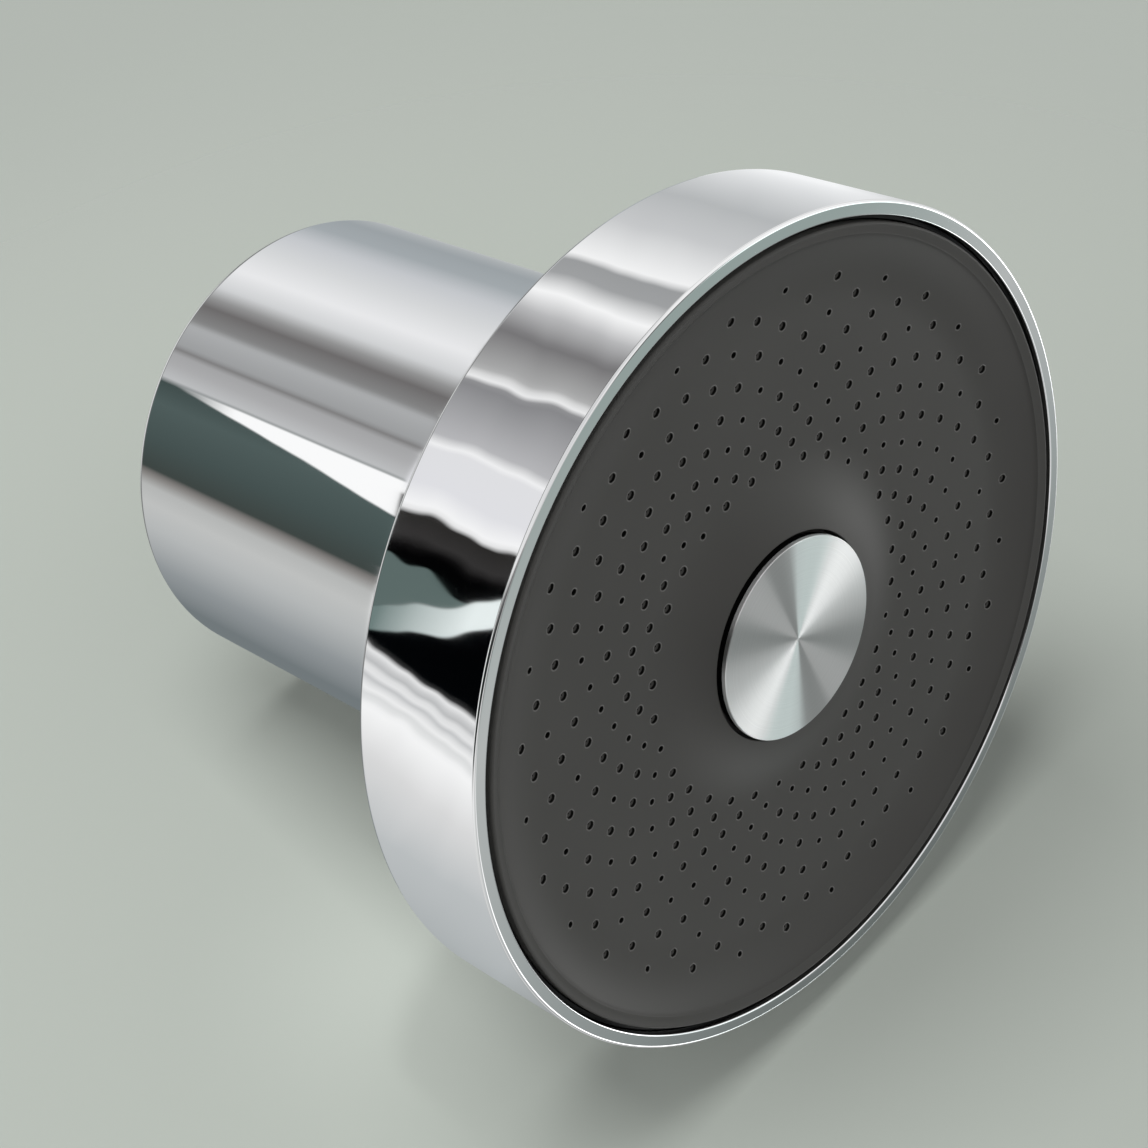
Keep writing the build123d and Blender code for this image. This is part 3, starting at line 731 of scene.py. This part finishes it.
# painted shade: a black ring standing in for the shade deep in the gap round the face
gapShadeRing = {"inner": 60.5, "outer": 61.32, "low": 1.5, "high": 3.35, "round": 0.2,
           "finish": {"colours": ((0.002, 0.002, 0.002), (0.003, 0.003, 0.003)), "specular": 0.05}}


def makeGapShadeRing(s):
    # black ring at the bottom of the narrow gap between face and rim: painted shade, a dark piece where the
    # gap has only shade
    skin = Skin()
    skin.lathe([(s.inner, s.low, s.round), (s.outer, s.low, s.round),
                (s.outer, s.high, 0), (s.inner, s.high, 0)], headShell["segments"])
    rubber = makeGraphite("gapShadeBlack", Settings(**{**graphite, **s.finish}))
    return skin.build("gapShadeRing", rubber, "head")


makeGapShadeRing(Settings(**gapShadeRing))


# centre cap on its carrier

centreCap = {"bevel": 0.1, "bevelRound": 0.03, "segments": 360, "plate": 1.2, "skirtInner": 12.45,
             "skirtOuter": 14.45, "carrierRound": 0.15}


def makeCentreCap(s):
    radius, low, high, bevel = discHigh.x, discLow.z, discHigh.z, s.bevel
    disc = Skin()
    disc.lathe([(0, low, 0), (radius - bevel, low, s.bevelRound), (radius, low + bevel, s.bevelRound),
                (radius, high, 0), (0, high, 0)], s.segments)
    disc.build("centreDisc", finishes["spun_aluminium"], "head", ["center_disc"])
    carrier = Skin()
    outer, bottom, top = carrierHigh.x, carrierLow.z, carrierHigh.z
    carrier.lathe([(0, bottom, 0), (outer, bottom, s.carrierRound),
                   (outer, bottom + s.plate, s.carrierRound), (s.skirtOuter, bottom + s.plate, 0),
                   (s.skirtOuter, top, 0), (s.skirtInner, top, 0), (s.skirtInner, bottom + s.plate, 0),
                   (0, bottom + s.plate, 0)], s.segments)
    carrier.build("discCarrier", finishes["black_gloss"], "head", ["disc_carrier"])


makeCentreCap(Settings(**centreCap))


# filter housing

housing = {"bore": 36.6, "guideBore": 36.05, "guideTop": 36.2, "topWall": 3.0, "topRound": 1.4,
           "footRound": 0.15, "bossRadius": 19.0, "bossBore": 9.3, "bossLow": 86.0,
           "seatRadius": 13.95, "seatLow": 93.0,
           "nutRadius": 15.57, "nutLow": 102.1, "sealRadius": 37.44, "sealLow": 33.38, "sealHigh": 34.82,
           "segments": 480}


def makeHousing(s):
    skin = Skin()
    radius, low, top = housingHigh.x, housingLow.z, housingHigh.z
    inside = top - s.topWall
    skin.lathe([
        (radius, low, s.footRound), (radius, top, s.topRound), (s.nutRadius, top, 0.15),
        (s.nutRadius, s.nutLow, 0), (s.seatRadius, s.nutLow, 0), (s.seatRadius, s.seatLow, 0),
        (s.bossBore, s.seatLow, 0), (s.bossBore, s.bossLow, 0), (s.bossRadius, s.bossLow, 0),
        (s.bossRadius, inside, 0), (s.bore, inside, 0.5), (s.bore, s.guideTop, 0),
        (s.guideBore, s.guideTop, 0), (s.guideBore, s.sealHigh, 0), (s.sealRadius, s.sealHigh, 0),
        (s.sealRadius, s.sealLow, 0), (s.guideBore, s.sealLow, 0), (s.guideBore, low, s.footRound),
    ], s.segments)
    return skin.build("filterHousing", finishes["chrome_plate"], "housing",
                      ["filter_housing"])


makeHousing(Settings(**housing))


# nut that holds the ball

ballNut = {"roomRadius": 10.55, "ballHeight": 102.5, "throat": 8.9, "mouth": 9.8, "mouthDepth": 0.9,
           "edge": 0.3, "pinCircle": 12.7, "pinHole": 1.2, "pinDepth": 2.0, "pins": 4, "bandHalf": 1.8,
           "cellSteps": 20, "segments": 360}


def arcCorner(radius, height, start, end):
    # the corner whose round is the arc of a ball on the axis, from one polar angle to the other
    middle, half = (start + end) / 2, (end - start) / 2
    reach = radius / math.cos(half)
    return (reach * math.cos(middle), height + reach * math.sin(middle), radius)


def makeBallNut(s):
    skin = Skin()
    radius, low, top, segments = nutHigh.x, nutLow.z, nutHigh.z, s.segments
    room, middle = s.roomRadius, s.ballHeight
    throatAngle = math.acos(s.throat / room)
    footAngle = math.asin((low - middle) / room)
    bandIn, bandOut = s.pinCircle - s.bandHalf, s.pinCircle + s.bandHalf
    skin.lathe([
        (bandIn, top, 0), (s.mouth, top, 0.1), (s.throat, top - s.mouthDepth, 0.1),
        (s.throat, middle + room * math.sin(throatAngle), 0),
        arcCorner(room, middle, footAngle, throatAngle), (room * math.cos(footAngle), low, 0),
        (radius, low, s.edge), (radius, top, s.edge), (bandOut, top, 0),
    ], segments, closed=False)
    half = s.cellSteps / 2
    up = [(0, 0, 1)]
    for k in range(segments):
        nearest = k + 0.5 - round((k + 0.5) * s.pins / segments) * segments / s.pins
        if abs(nearest) > half:
            first, last = (2 * math.pi * (k + step) / segments for step in (0, 1))
            corners = ((bandIn, first), (bandOut, first), (bandOut, last), (bandIn, last))
            skin.face([onCircle(r, a, top) for r, a in corners], up * 4)

    def place(r, a):
        return onCircle(r, a, top)

    for bearing in circleAngles(s.pins):
        steps = Settings(arcSteps=s.cellSteps, sideSteps=2)
        outline = cellOutline(bandIn, bandOut, bearing, 2 * math.pi * half / segments, steps, place)[::-1]
        centre = np.array(place(s.pinCircle, bearing))
        ways = [unit((p[0] - centre[0], p[1] - centre[1], 0)) for p in outline]
        inward = [-w for w in ways]

        def circle(r, depth):
            return [centre + r * w - np.array([0, 0, depth]) for w in ways]

        flat, hole = up * len(ways), s.pinHole
        rows = [(outline, flat), (circle(hole + 0.1, 0), flat), (circle(hole, 0.1), inward),
                (circle(hole, s.pinDepth), inward), (circle(hole, s.pinDepth), flat),
                (circle(0, s.pinDepth), flat)]
        for (ringA, normalsA), (ringB, normalsB) in zip(rows, rows[1:]):
            skin.rings(ringA, ringB, normalsA, normalsB)
    return skin.build("ballNut", finishes["plated_brass"], "housing", ["ball_nut"])


makeBallNut(Settings(**ballNut))


# ball with its hexagon inlet, thread and screen

swivelBall = {"radius": 10.5, "ballHeight": 102.5, "neckRadius": 6.3, "hexFoot": 113.0, "flats": 25.0,
              "faceRadius": 12.0, "bevelFall": 1 / 2.43, "waterBore": 4.25, "restrictorBore": 5.0,
              "restrictorLow": 112.0, "washerBore": 9.32, "washerLow": 115.0, "threadLow": 118.1,
              "threadBore": 10.48, "edge": 0.15, "hexCornerRound": 0.5, "segments": 360}
pipeThread = {"root": 10.48, "crest": 9.35, "sunk": 0.2, "pitch": 1.814, "footWidth": 1.5, "crestWidth": 0.3,
              "low": 119.0, "high": 126.2}


def hexRadius(angle, s):
    # distance from the axis to the hexagon, with its six corners softly rounded
    sector = math.pi / 3
    away = abs((angle + sector / 2) % sector - sector / 2)  # from the nearest corner
    apothem, soft = s.flats / 2, s.hexCornerRound
    flat = apothem / math.cos(sector / 2 - away)
    centre = (apothem - soft) / math.cos(sector / 2)
    if centre * math.sin(away) > soft * math.sin(sector / 2 - away) and away > 0.03:
        return flat
    rounded = centre * math.cos(away) + math.sqrt(max(0, soft ** 2 - (centre * math.sin(away)) ** 2))
    return min(flat, rounded)


def makeSwivelBall(s):
    skin = Skin()
    low, top, radius, middle, edge = ballLow.z, ballHigh.z, s.radius, s.ballHeight, s.edge
    segments = s.segments
    cut = math.asin((low - middle) / radius)
    neck = math.acos(s.neckRadius / radius)
    skin.lathe([
        (s.faceRadius, top, 0), (s.threadBore, top, 0.3), (s.threadBore, s.threadLow, 0),
        (s.washerBore, s.threadLow, 0), (s.washerBore, s.washerLow, 0),
        (s.restrictorBore, s.washerLow, 0), (s.restrictorBore, s.restrictorLow, 0),
        (s.waterBore, s.restrictorLow, 0), (s.waterBore, low, edge),
        (radius * math.cos(cut), low, 0), arcCorner(radius, middle, cut, neck),
        (s.neckRadius, middle + radius * math.sin(neck), 0), (s.neckRadius, s.hexFoot, 0),
        (s.faceRadius, s.hexFoot, 0),
    ], segments, closed=False)
    angles = circleAngles(segments)
    reach = [hexRadius(a, s) for a in angles]
    fall = [(r - s.faceRadius) * s.bevelFall for r in reach]
    outline = [onCircle(r, a) for r, a in zip(reach, angles)]
    sides = []
    for k in range(segments):
        run = np.subtract(outline[(k + 1) % segments], outline[k - 1])
        sides.append(unit((run[1], -run[0], 0)))
    bevelRadial = unit((s.bevelFall, 1))
    for height, way in ((s.hexFoot, -1), (top, 1)):
        inner = [onCircle(s.faceRadius, a, height) for a in angles]
        outer = [(x, y, height - way * f) for (x, y, z), f in zip(outline, fall)]
        slopes = [onCircle(bevelRadial[0], a, way * bevelRadial[1]) for a in angles]
        if way < 0:
            skin.rings(inner, outer, slopes, slopes)
            foot = outer
        else:
            skin.rings(outer, inner, slopes, slopes)
            skin.rings(foot, outer, sides, sides)
    threadRidge(skin, Settings(**pipeThread), inward=True)
    return skin.build("swivelBall", finishes["plated_brass"], "inlet_coupling",
                      ["swivel_ball"])


makeSwivelBall(Settings(**swivelBall))

wireScreen = {"wire": 0.12, "mesh": 0.75, "rimWidth": 0.7, "sides": 6, "steps": 6}


def makeWireScreen(s):
    # wires woven over and under each other, held in a thin rim
    skin = Skin()
    radius, low, high = screenHigh.x, screenLow.z, screenHigh.z
    middle, rimInner = (low + high) / 2, screenHigh.x - s.rimWidth
    skin.lathe([(rimInner, low, 0.1), (radius, low, 0.1), (radius, high, 0.1), (rimInner, high, 0.1)], 120)
    count = int(rimInner / s.mesh)
    for turned in (False, True):
        for line in range(-count, count + 1):
            offset = line * s.mesh
            half = math.sqrt((rimInner + 0.2) ** 2 - offset ** 2)
            steps = max(2, round(2 * half / s.mesh) * s.steps)
            rows, ways = [], []
            for step in range(steps + 1):
                along = -half + 2 * half * step / steps
                phase = math.pi * (along / s.mesh + line + (1 if turned else 0))
                height = middle + s.wire * math.cos(phase)
                row, way = [], []
                for side in range(s.sides):
                    angle = 2 * math.pi * side / s.sides
                    across, rise = math.cos(angle), math.sin(angle)
                    spot = (along, offset + s.wire * across, height + s.wire * rise)
                    normal = (0, across, rise)
                    if turned:
                        spot, normal = (-spot[1], spot[0], spot[2]), (-normal[1], normal[0], normal[2])
                    row.append(spot)
                    way.append(normal)
                rows.append(row)
                ways.append(way)
            for a in range(steps):
                for side in range(s.sides):
                    nxt = (side + 1) % s.sides
                    skin.face([rows[a][side], rows[a + 1][side], rows[a + 1][nxt], rows[a][nxt]],
                              [ways[a][side], ways[a + 1][side], ways[a + 1][nxt], ways[a][nxt]])
    return skin.build("inletScreen", finishes["screen_steel"], "inlet_coupling",
                      ["inlet_screen"])


makeWireScreen(Settings(**wireScreen))


# studio: pale floor under the lying head as the photo shows it, and one under the standing head

stage = {
    "floorColour": tint(0.56, 0.579, 0.556),
    "restRim": Vector((0, 63.5, 22.6)) * mm,       # the head's back edge and the
    "restHousing": Vector((0, 38.8, 109.0)) * mm,  # housing's top edge lie on the floor
    "size": 1.6, "fade": (0.16, 0.30), "roughness": 0.7, "specular": 0.2, "sunk": 0.0002,
}


def makeFloorFinish(s):
    # seen from its front only, and fading out where the plain background takes over
    material, tree, shader = newMaterial("paleFloor")
    finish(tree, shader, {"Base Color": s.floorColour, "Roughness": s.roughness,
                          "Specular IOR Level": s.specular})
    backfacing = Signal(tree, addNode(tree, "NewGeometry").outputs["Backfacing"])
    place = addNode(tree, "TexCoord").outputs["Object"]
    distance = addNode(tree, "VectorMath", {0: place}, operation="LENGTH").outputs["Value"]
    clear = backfacing.math("MAXIMUM", Signal(tree, distance).to(*s.fade, curve="SMOOTHSTEP"))
    shaders = (shader.outputs["BSDF"], addNode(tree, "BsdfTransparent").outputs["BSDF"])
    mix = addNode(tree, "MixShader", {"Fac": clear, 1: shaders[0], 2: shaders[1]})
    out = next(n for n in tree.nodes if n.type == "OUTPUT_MATERIAL")
    tree.links.new(mix.outputs["Shader"], out.inputs["Surface"])
    return material


def makeFloor(name, centre, normal, material):
    half = stage["size"] / 2
    mesh = bpy.data.meshes.new(name)
    corners = [(-half, -half, 0), (half, -half, 0), (half, half, 0), (-half, half, 0)]
    mesh.from_pydata(corners, [], [(0, 1, 2, 3)])
    mesh.materials.append(material)
    floor = bpy.data.objects.new(name, mesh)
    floor.matrix_world = Matrix.Translation(centre) @ normal.to_track_quat("Z", "Y").to_matrix().to_4x4()
    bpy.context.scene.collection.objects.link(floor)
    return floor


along = (stage["restHousing"] - stage["restRim"]).normalized()
floorUp = along.cross(Vector((1, 0, 0))).normalized()
if floorUp.y > 0:
    floorUp = -floorUp
floorFinish = makeFloorFinish(Settings(**stage))
lyingFloor = makeFloor("lyingFloor", stage["restRim"], floorUp, floorFinish)
standingFloor = makeFloor("standingFloor", Vector((0, 0, -stage["sunk"])), Vector((0, 0, 1)), floorFinish)
for way in ("visible_glossy", "visible_diffuse", "visible_shadow", "visible_transmission"):
    setattr(lyingFloor, way, False)
    setattr(standingFloor, way, False)


# camera, at the photo's viewing angle

imageSize, sensorWidth = 1148, 36  # pixels and mm
view = {
    "place": Vector((-168.98, -200.53, -176.0)) * mm,
    "right": Vector((0.68133, 0.20542, -0.70256)),
    "down": Vector((-0.54918, 0.77802, -0.30510)),
    "lens": 68.72,
}


def makeCamera(s):
    camera = bpy.data.cameras.new("photoView")
    camera.lens = s.lens
    camera.sensor_width = sensorWidth
    camera.clip_start = 0.01
    right = s.right.normalized()
    back = right.cross(-s.down).normalized()
    up = back.cross(right)
    place = bpy.data.objects.new("photoView", camera)
    place.matrix_world = Matrix.Translation(s.place) @ Matrix((right, up, back)).transposed().to_4x4()
    bpy.context.scene.collection.objects.link(place)
    bpy.context.scene.camera = place
    return place


camera = makeCamera(Settings(**view))


# light

lamps = {
    "headWindow": {"lights": "head", "toward": (0.32, -0.88, 0.36), "distance": 1.8, "size": 1.1,
                   "power": 20.0},
    "lyingWindow": {"lights": "lyingFloor", "toward": (-0.13, -0.99, -0.05), "distance": 1.8, "size": 1.1,
                    "power": 43.0},
    "sideWindow": {"lights": "lyingFloor", "toward": (-0.66, -0.63, 0.4), "distance": 1.8, "size": 1.4,
                   "power": 22.0},
    "standingWindow": {"lights": "standingFloor", "toward": (-0.35, -0.3, 0.9), "distance": 1.8, "size": 1.2,
                       "power": 50.0},
}
floorGlint = {"pixel": (400, 975), "height": 0.5, "angle": 5.5, "power": 4.5, "blend": 1.0, "soft": 0.02}
surroundings = {
    "background": tint(0.70, 0.722, 0.697),
    "ambient": (0.06, 0.06, 0.06),
    "frontFill": (0.95, 0.95, 0.95), "frontWay": (0.21, -0.2, -0.95), "fillFrom": (0.25, 0.85),
    # zones by height in the view, each from one height to the next
    "frontFrom": (-0.2, -0.35), "plainFrom": (0.02, 0.10), "edgeFrom": (0.34, 0.40),
    "studioTop": (0.56, 0.60), "ringFoot": 0.667, "border": 0.7066, "borderDip": 0.0107,
    "borderTurn": 132.0, "borderBlur": 0.0005,
    "rearDark": (0.805, 0.83), "rearEnd": (0.95, 0.925),
    "plainTone": (0.70, 0.705, 0.70), "rearTone": (0.20, 0.205, 0.205),
    "capView": (0.533, 0.636, 0.559),   # from the camera to the cap
    "cardsFrom": (0.18, 0.23), "cardsTo": (0.60, 0.45), "floorLean": 0.5,
    "wedgeStart": -144.0, "wedgeFoot": 0.74, "wedgeLean": 211.0, "wedgeEnd": -133.4,
    "wedgeTop": (0.782, 0.762), "wedgeTone": (1.02, 1.02, 1.02),
    "ribbonStart": -157.0, "ribbonLean": -420.0, "ribbonHalf": 4.6, "ribbonFade": (0.002, 0.030),
    "ribbonTones": (tint(0.93, 0.96, 0.955), tint(0.44, 0.51, 0.50)),
    "patchTop": -155.5, "patchLean": 140.0, "patchTone": tint(0.37, 0.43, 0.42),
    "doorLean": 120.0, "doorFrom": (-166, -172),
    "waveFrom": (-130.0, -145.0), "waveDepth": (3.0, 6.5), "waveAlong": 0.0165, "waveRound": 28.0,
}
# what the chrome sees, by bearing round the head's axis (degrees) and tone
firstBearing, lastBearing = -308, 52
tubeBands = [
    (-308, (0.45, 0.48, 0.49)), (-270, (0.45, 0.48, 0.49)), (-240, (0.58, 0.60, 0.61)),
    (-214, (0.73, 0.74, 0.74)), (-200, (0.77, 0.775, 0.77)), (-190, (0.73, 0.735, 0.73)),
    (-184.5, (0.56, 0.55, 0.54)), (-182, (0.46, 0.45, 0.44)), (-180, (0.25, 0.28, 0.27)),
    (-165, (0.28, 0.33, 0.325)), (-146, (0.32, 0.375, 0.37)), (-134.6, (0.26, 0.31, 0.305)),
    (-132.6, (0.76, 0.765, 0.77)), (-125, (0.69, 0.69, 0.695)), (-119, (0.66, 0.66, 0.665)),
    (-117, (0.50, 0.495, 0.495)), (-114.5, (0.63, 0.635, 0.64)), (-103, (0.69, 0.695, 0.70)),
    (-99.5, 0.53), (-90, (0.44, 0.43, 0.43)), (-84, 0.60), (-77, (0.84, 0.845, 0.85)),
    (-64, (0.94, 0.94, 0.945)), (-46, (0.86, 0.865, 0.87)), (-28, (0.79, 0.80, 0.815)),
    (-12, (0.65, 0.675, 0.69)), (8, (0.62, 0.645, 0.66)), (36, (0.72, 0.735, 0.74)),
]
ringBands = [
    (-308, (0.62, 0.64, 0.645)), (-270, (0.69, 0.71, 0.715)), (-235, (0.75, 0.765, 0.77)), (-212, 0.87),
    (-196, 0.99), (-193, (0.86, 0.865, 0.865)), (-191, 0.97), (-188.5, (0.78, 0.785, 0.79)),
    (-186.5, 0.97), (-184, (0.72, 0.725, 0.73)), (-181, 0.96), (-180, (0.01, 0.015, 0.02)),
    (-148, (0.01, 0.01, 0.012)), (-145, (0.21, 0.205, 0.205)), (-139, (0.17, 0.165, 0.16)), (-137.6, 1.0),
    (-131, (0.90, 0.90, 0.915)), (-121, (0.90, 0.90, 0.91)), (-119, 0.99), (-117.5, (0.74, 0.74, 0.75)),
    (-100, (0.53, 0.53, 0.54)), (-98.3, 0.98), (-95.5, 0.69), (-84, (0.47, 0.465, 0.47)),
    (-76, (0.74, 0.74, 0.745)), (-69, 0.99), (-62, (0.64, 0.645, 0.65)), (-56, (0.62, 0.625, 0.63)),
    (-54, 0.98), (-36, (0.80, 0.805, 0.81)), (-18, (0.725, 0.735, 0.74)), (22, (0.97, 0.975, 0.98)),
]
# the plain soft studio that everything else reflects, and the zone between it and the bands
studioBands = [
    (-308, (0.52, 0.53, 0.53)), (-284, (0.52, 0.53, 0.53)), (-268, (0.62, 0.63, 0.63)),
    (-235, (0.74, 0.75, 0.75)), (-212, (0.85, 0.855, 0.85)), (-196, 0.95), (-189, 0.70),
    (-185, (0.16, 0.18, 0.175)), (-160, (0.14, 0.155, 0.15)), (-148, 0.50), (-140, 0.92),
    (-112, (0.86, 0.86, 0.865)), (-92, (0.84, 0.84, 0.845)), (-60, 0.97), (-16, 0.97),
    (8, (0.90, 0.905, 0.91)), (28, (0.70, 0.715, 0.72)),
]
edgeBands = [
    (-308, (0.52, 0.53, 0.53)), (-268, (0.58, 0.59, 0.59)), (-235, (0.72, 0.73, 0.73)), (-205, 0.90),
    (-198, 0.99), (-160, 0.99), (-153, 0.60), (-149, (0.10, 0.11, 0.11)), (-88, (0.12, 0.13, 0.13)),
    (-72, 0.55), (-58, 0.95), (8, (0.92, 0.92, 0.925)), (30, (0.72, 0.73, 0.735)),
]
# the cards round the cap's own reflection, by direction of tilt, as light and not as tone
fanBands = [
    (-180, 0.95), (-168, 0.78), (-156, 0.28), (-136, 0.25), (-127, 0.56), (-108, 0.56), (-103, 0.11),
    (-86, 0.11), (-78, (1.34, 1.48, 1.46)), (-54, (1.34, 1.48, 1.46)), (-44, 3.58), (-30, 5.15),
    (-15, 4.7), (0, 4.14), (14, 3.14), (22, 2.46), (28, 1.01), (47, 0.95), (54, 2.35), (72, 2.46),
    (77, 0.67), (94, 0.67), (101, (2.46, 2.71, 2.69)), (127, (2.46, 2.71, 2.69)), (138, 2.69),
    (160, 1.79), (180, 0.95),
]
# the floor before the head, which the flat rim mirrors, from lit to shaded
floorBands = [
    (0.80, (0.30, 0.36, 0.345)), (0.85, (0.47, 0.49, 0.485)), (0.89, (0.37, 0.40, 0.395)),
    (0.94, (0.23, 0.255, 0.25)), (0.975, (0.12, 0.135, 0.13)), (1.05, (0.08, 0.09, 0.09)),
]


def makeLamps(settings):
    # one lamp for the head and one for the shadow on each floor
    middle = Vector((0, 0, housingHigh.z / 2)) * mm
    lit = {lights: bpy.data.collections.new(lights) for lights in ("head", "lyingFloor", "standingFloor")}
    for piece in bpy.context.scene.objects:
        if piece.type == "MESH":
            lit[piece.name if piece.name in lit else "head"].objects.link(piece)
    for name, table in settings.items():
        s = Settings(**table)
        lamp = bpy.data.lights.new(name, "AREA")
        lamp.energy = s.power
        lamp.size = s.size
        place = bpy.data.objects.new(name, lamp)
        toward = Vector(s.toward).normalized()
        place.matrix_world = Matrix.Translation(middle + toward * s.distance) @ \
            toward.to_track_quat("Z", "Y").to_matrix().to_4x4()
        place.visible_glossy = False
        place.light_linking.receiver_collection = lit[s.lights]
        bpy.context.scene.collection.objects.link(place)


def makeFloorGlint(s):
    # light that the ring throws on the floor beside it
    x, y = ((v / imageSize - 0.5) * sensorWidth for v in s.pixel)
    ray = Vector((x, -y, -camera.data.lens)).normalized()
    ray = camera.matrix_world.to_3x3() @ ray
    start = camera.matrix_world.translation
    reach = (stage["restRim"] - start).dot(floorUp) / ray.dot(floorUp)
    spot = start + ray * reach
    lamp = bpy.data.lights.new("floorGlint", "SPOT")
    lamp.energy = s.power
    lamp.spot_size = math.radians(s.angle)
    lamp.spot_blend = s.blend
    lamp.shadow_soft_size = s.soft
    place = bpy.data.objects.new("floorGlint", lamp)
    place.matrix_world = Matrix.Translation(spot + floorUp * s.height) @ \
        floorUp.to_track_quat("Z", "Y").to_matrix().to_4x4()
    place.visible_glossy = False
    bpy.context.scene.collection.objects.link(place)


def bandRamp(tree, value, bands, first, last):
    stops = [((at - first) / (last - first), colour) for at, colour in bands]
    return ramp(tree, (value - first) / (last - first), stops)


def bearingRamp(tree, bearing, bands):
    stops = [(at, tint(*three(tones))) for at, tones in bands]
    return bandRamp(tree, bearing, stops, firstBearing, lastBearing)


def housingLight(tree, bearing, z, s):
    # bands along the housing, with the wedge of window light that narrows towards its far end
    past = bearing - ((z - s.wedgeFoot) * s.wedgeLean + s.wedgeStart)
    wedge = past.math("MINIMUM", s.wedgeEnd - bearing).to(0, 1) * z.to(*s.wedgeTop)
    return mixColours(tree, wedge, bearingRamp(tree, bearing, tubeBands), s.wedgeTone)


def ringLight(tree, bearing, z, s):
    # wavy bands across the ring; in its dark door a green patch and a pale ribbon
    rise = z - s.ringFoot
    spot = addNode(tree, "CombineXYZ", {"X": bearing / s.waveRound, "Y": rise / s.waveAlong})
    noise = addNode(tree, "TexNoise", {"Vector": spot.outputs["Vector"], "Scale": 1.0, "Detail": 1.0},
                    noise_dimensions="2D")
    wave = Signal(tree, noise.outputs["Fac"]) - 0.5
    wavy = bearing + wave * bearing.to(*s.waveFrom, *s.waveDepth)
    colour = bearingRamp(tree, wavy - rise * s.doorLean * wavy.to(*s.doorFrom), ringBands)
    away = wavy - (rise * s.ribbonLean + s.ribbonStart)
    patch = away.to(s.ribbonHalf - 0.4, s.ribbonHalf + 0.2)
    patch = patch * (wavy - (rise * s.patchLean + s.patchTop)).to(0.3, -0.3)
    colour = mixColours(tree, patch, colour, s.patchTone)
    ribbon = away.math("ABSOLUTE").to(s.ribbonHalf + 0.2, s.ribbonHalf - 0.6)
    return mixColours(tree, ribbon, colour, mixColours(tree, rise.to(*s.ribbonFade), *s.ribbonTones))


def frontLight(tree, direction, x, y, s):
    # what the face, the cap and the rim's flat front see
    halfway = addNode(tree, "VectorMath", {0: direction, 1: s.capView}, operation="SUBTRACT")
    hx, hy, hz = separate(tree, halfway.outputs["Vector"])
    tilt = lengthOf(hx, hy) / hz.math("ABSOLUTE")
    floor = bandRamp(tree, y + x * s.floorLean, floorBands, 0.80, 1.05)
    cards = bandRamp(tree, bearingOf(hx, hy), [(at, three(light)) for at, light in fanBands], -180, 180)
    return mixColours(tree, tilt.to(*s.cardsFrom), floor, cards), tilt.to(*s.cardsTo)


def makeSurroundings(s):
    world = bpy.data.worlds.new("studio")
    bpy.context.scene.world = world
    world.use_nodes = True
    world.cycles.sampling_method = "NONE"
    tree = world.node_tree
    tree.nodes.clear()
    direction = addNode(tree, "TexCoord").outputs["Generated"]
    x, y, z = separate(tree, direction)
    bearing = bearingOf(x, y)
    bearing = bearing - bearing.math("GREATER_THAN", lastBearing) * 360
    # the housing stands higher in the view than the ring, most of all at its sides
    swing = ((bearing + s.borderTurn) * (math.pi / 180)).math("COSINE")
    above = (z - (s.border - (1 - swing) * s.borderDip)).to(-s.borderBlur, s.borderBlur)
    banded = mixColours(tree, above, ringLight(tree, bearing, z, s), housingLight(tree, bearing, z, s))
    seen = mixColours(tree, z.to(*s.plainFrom), bearingRamp(tree, bearing, studioBands), s.plainTone)
    seen = mixColours(tree, z.to(*s.edgeFrom), seen, bearingRamp(tree, bearing, edgeBands))
    seen = mixColours(tree, z.to(*s.studioTop), seen, banded)
    rear = mixColours(tree, z.to(*s.rearEnd), s.plainTone, s.rearTone)
    seen = mixColours(tree, z.to(*s.rearDark), seen, rear)
    front, nearCap = frontLight(tree, direction, x, y, s)
    seen = mixColours(tree, z.to(*s.frontFrom) * nearCap, seen, front)
    facing = addNode(tree, "VectorMath", {0: direction, 1: Vector(s.frontWay).normalized()},
                     operation="DOT_PRODUCT").outputs["Value"]
    fill = Signal(tree, facing).to(*s.fillFrom, curve="SMOOTHSTEP")
    path = addNode(tree, "LightPath")
    shown = mixColours(tree, fill, s.ambient, s.frontFill)
    shown = mixColours(tree, path.outputs["Is Camera Ray"], shown, s.background)
    shown = mixColours(tree, path.outputs["Is Glossy Ray"], shown, seen)
    light = addNode(tree, "Background", {"Color": shown, "Strength": 1.0})
    addNode(tree, "OutputWorld", {"Surface": light.outputs["Background"]})


makeLamps(lamps)
makeFloorGlint(Settings(**floorGlint))
makeSurroundings(Settings(**surroundings))
bpy.context.scene.view_settings.view_transform = "Standard"
print("studio ready")
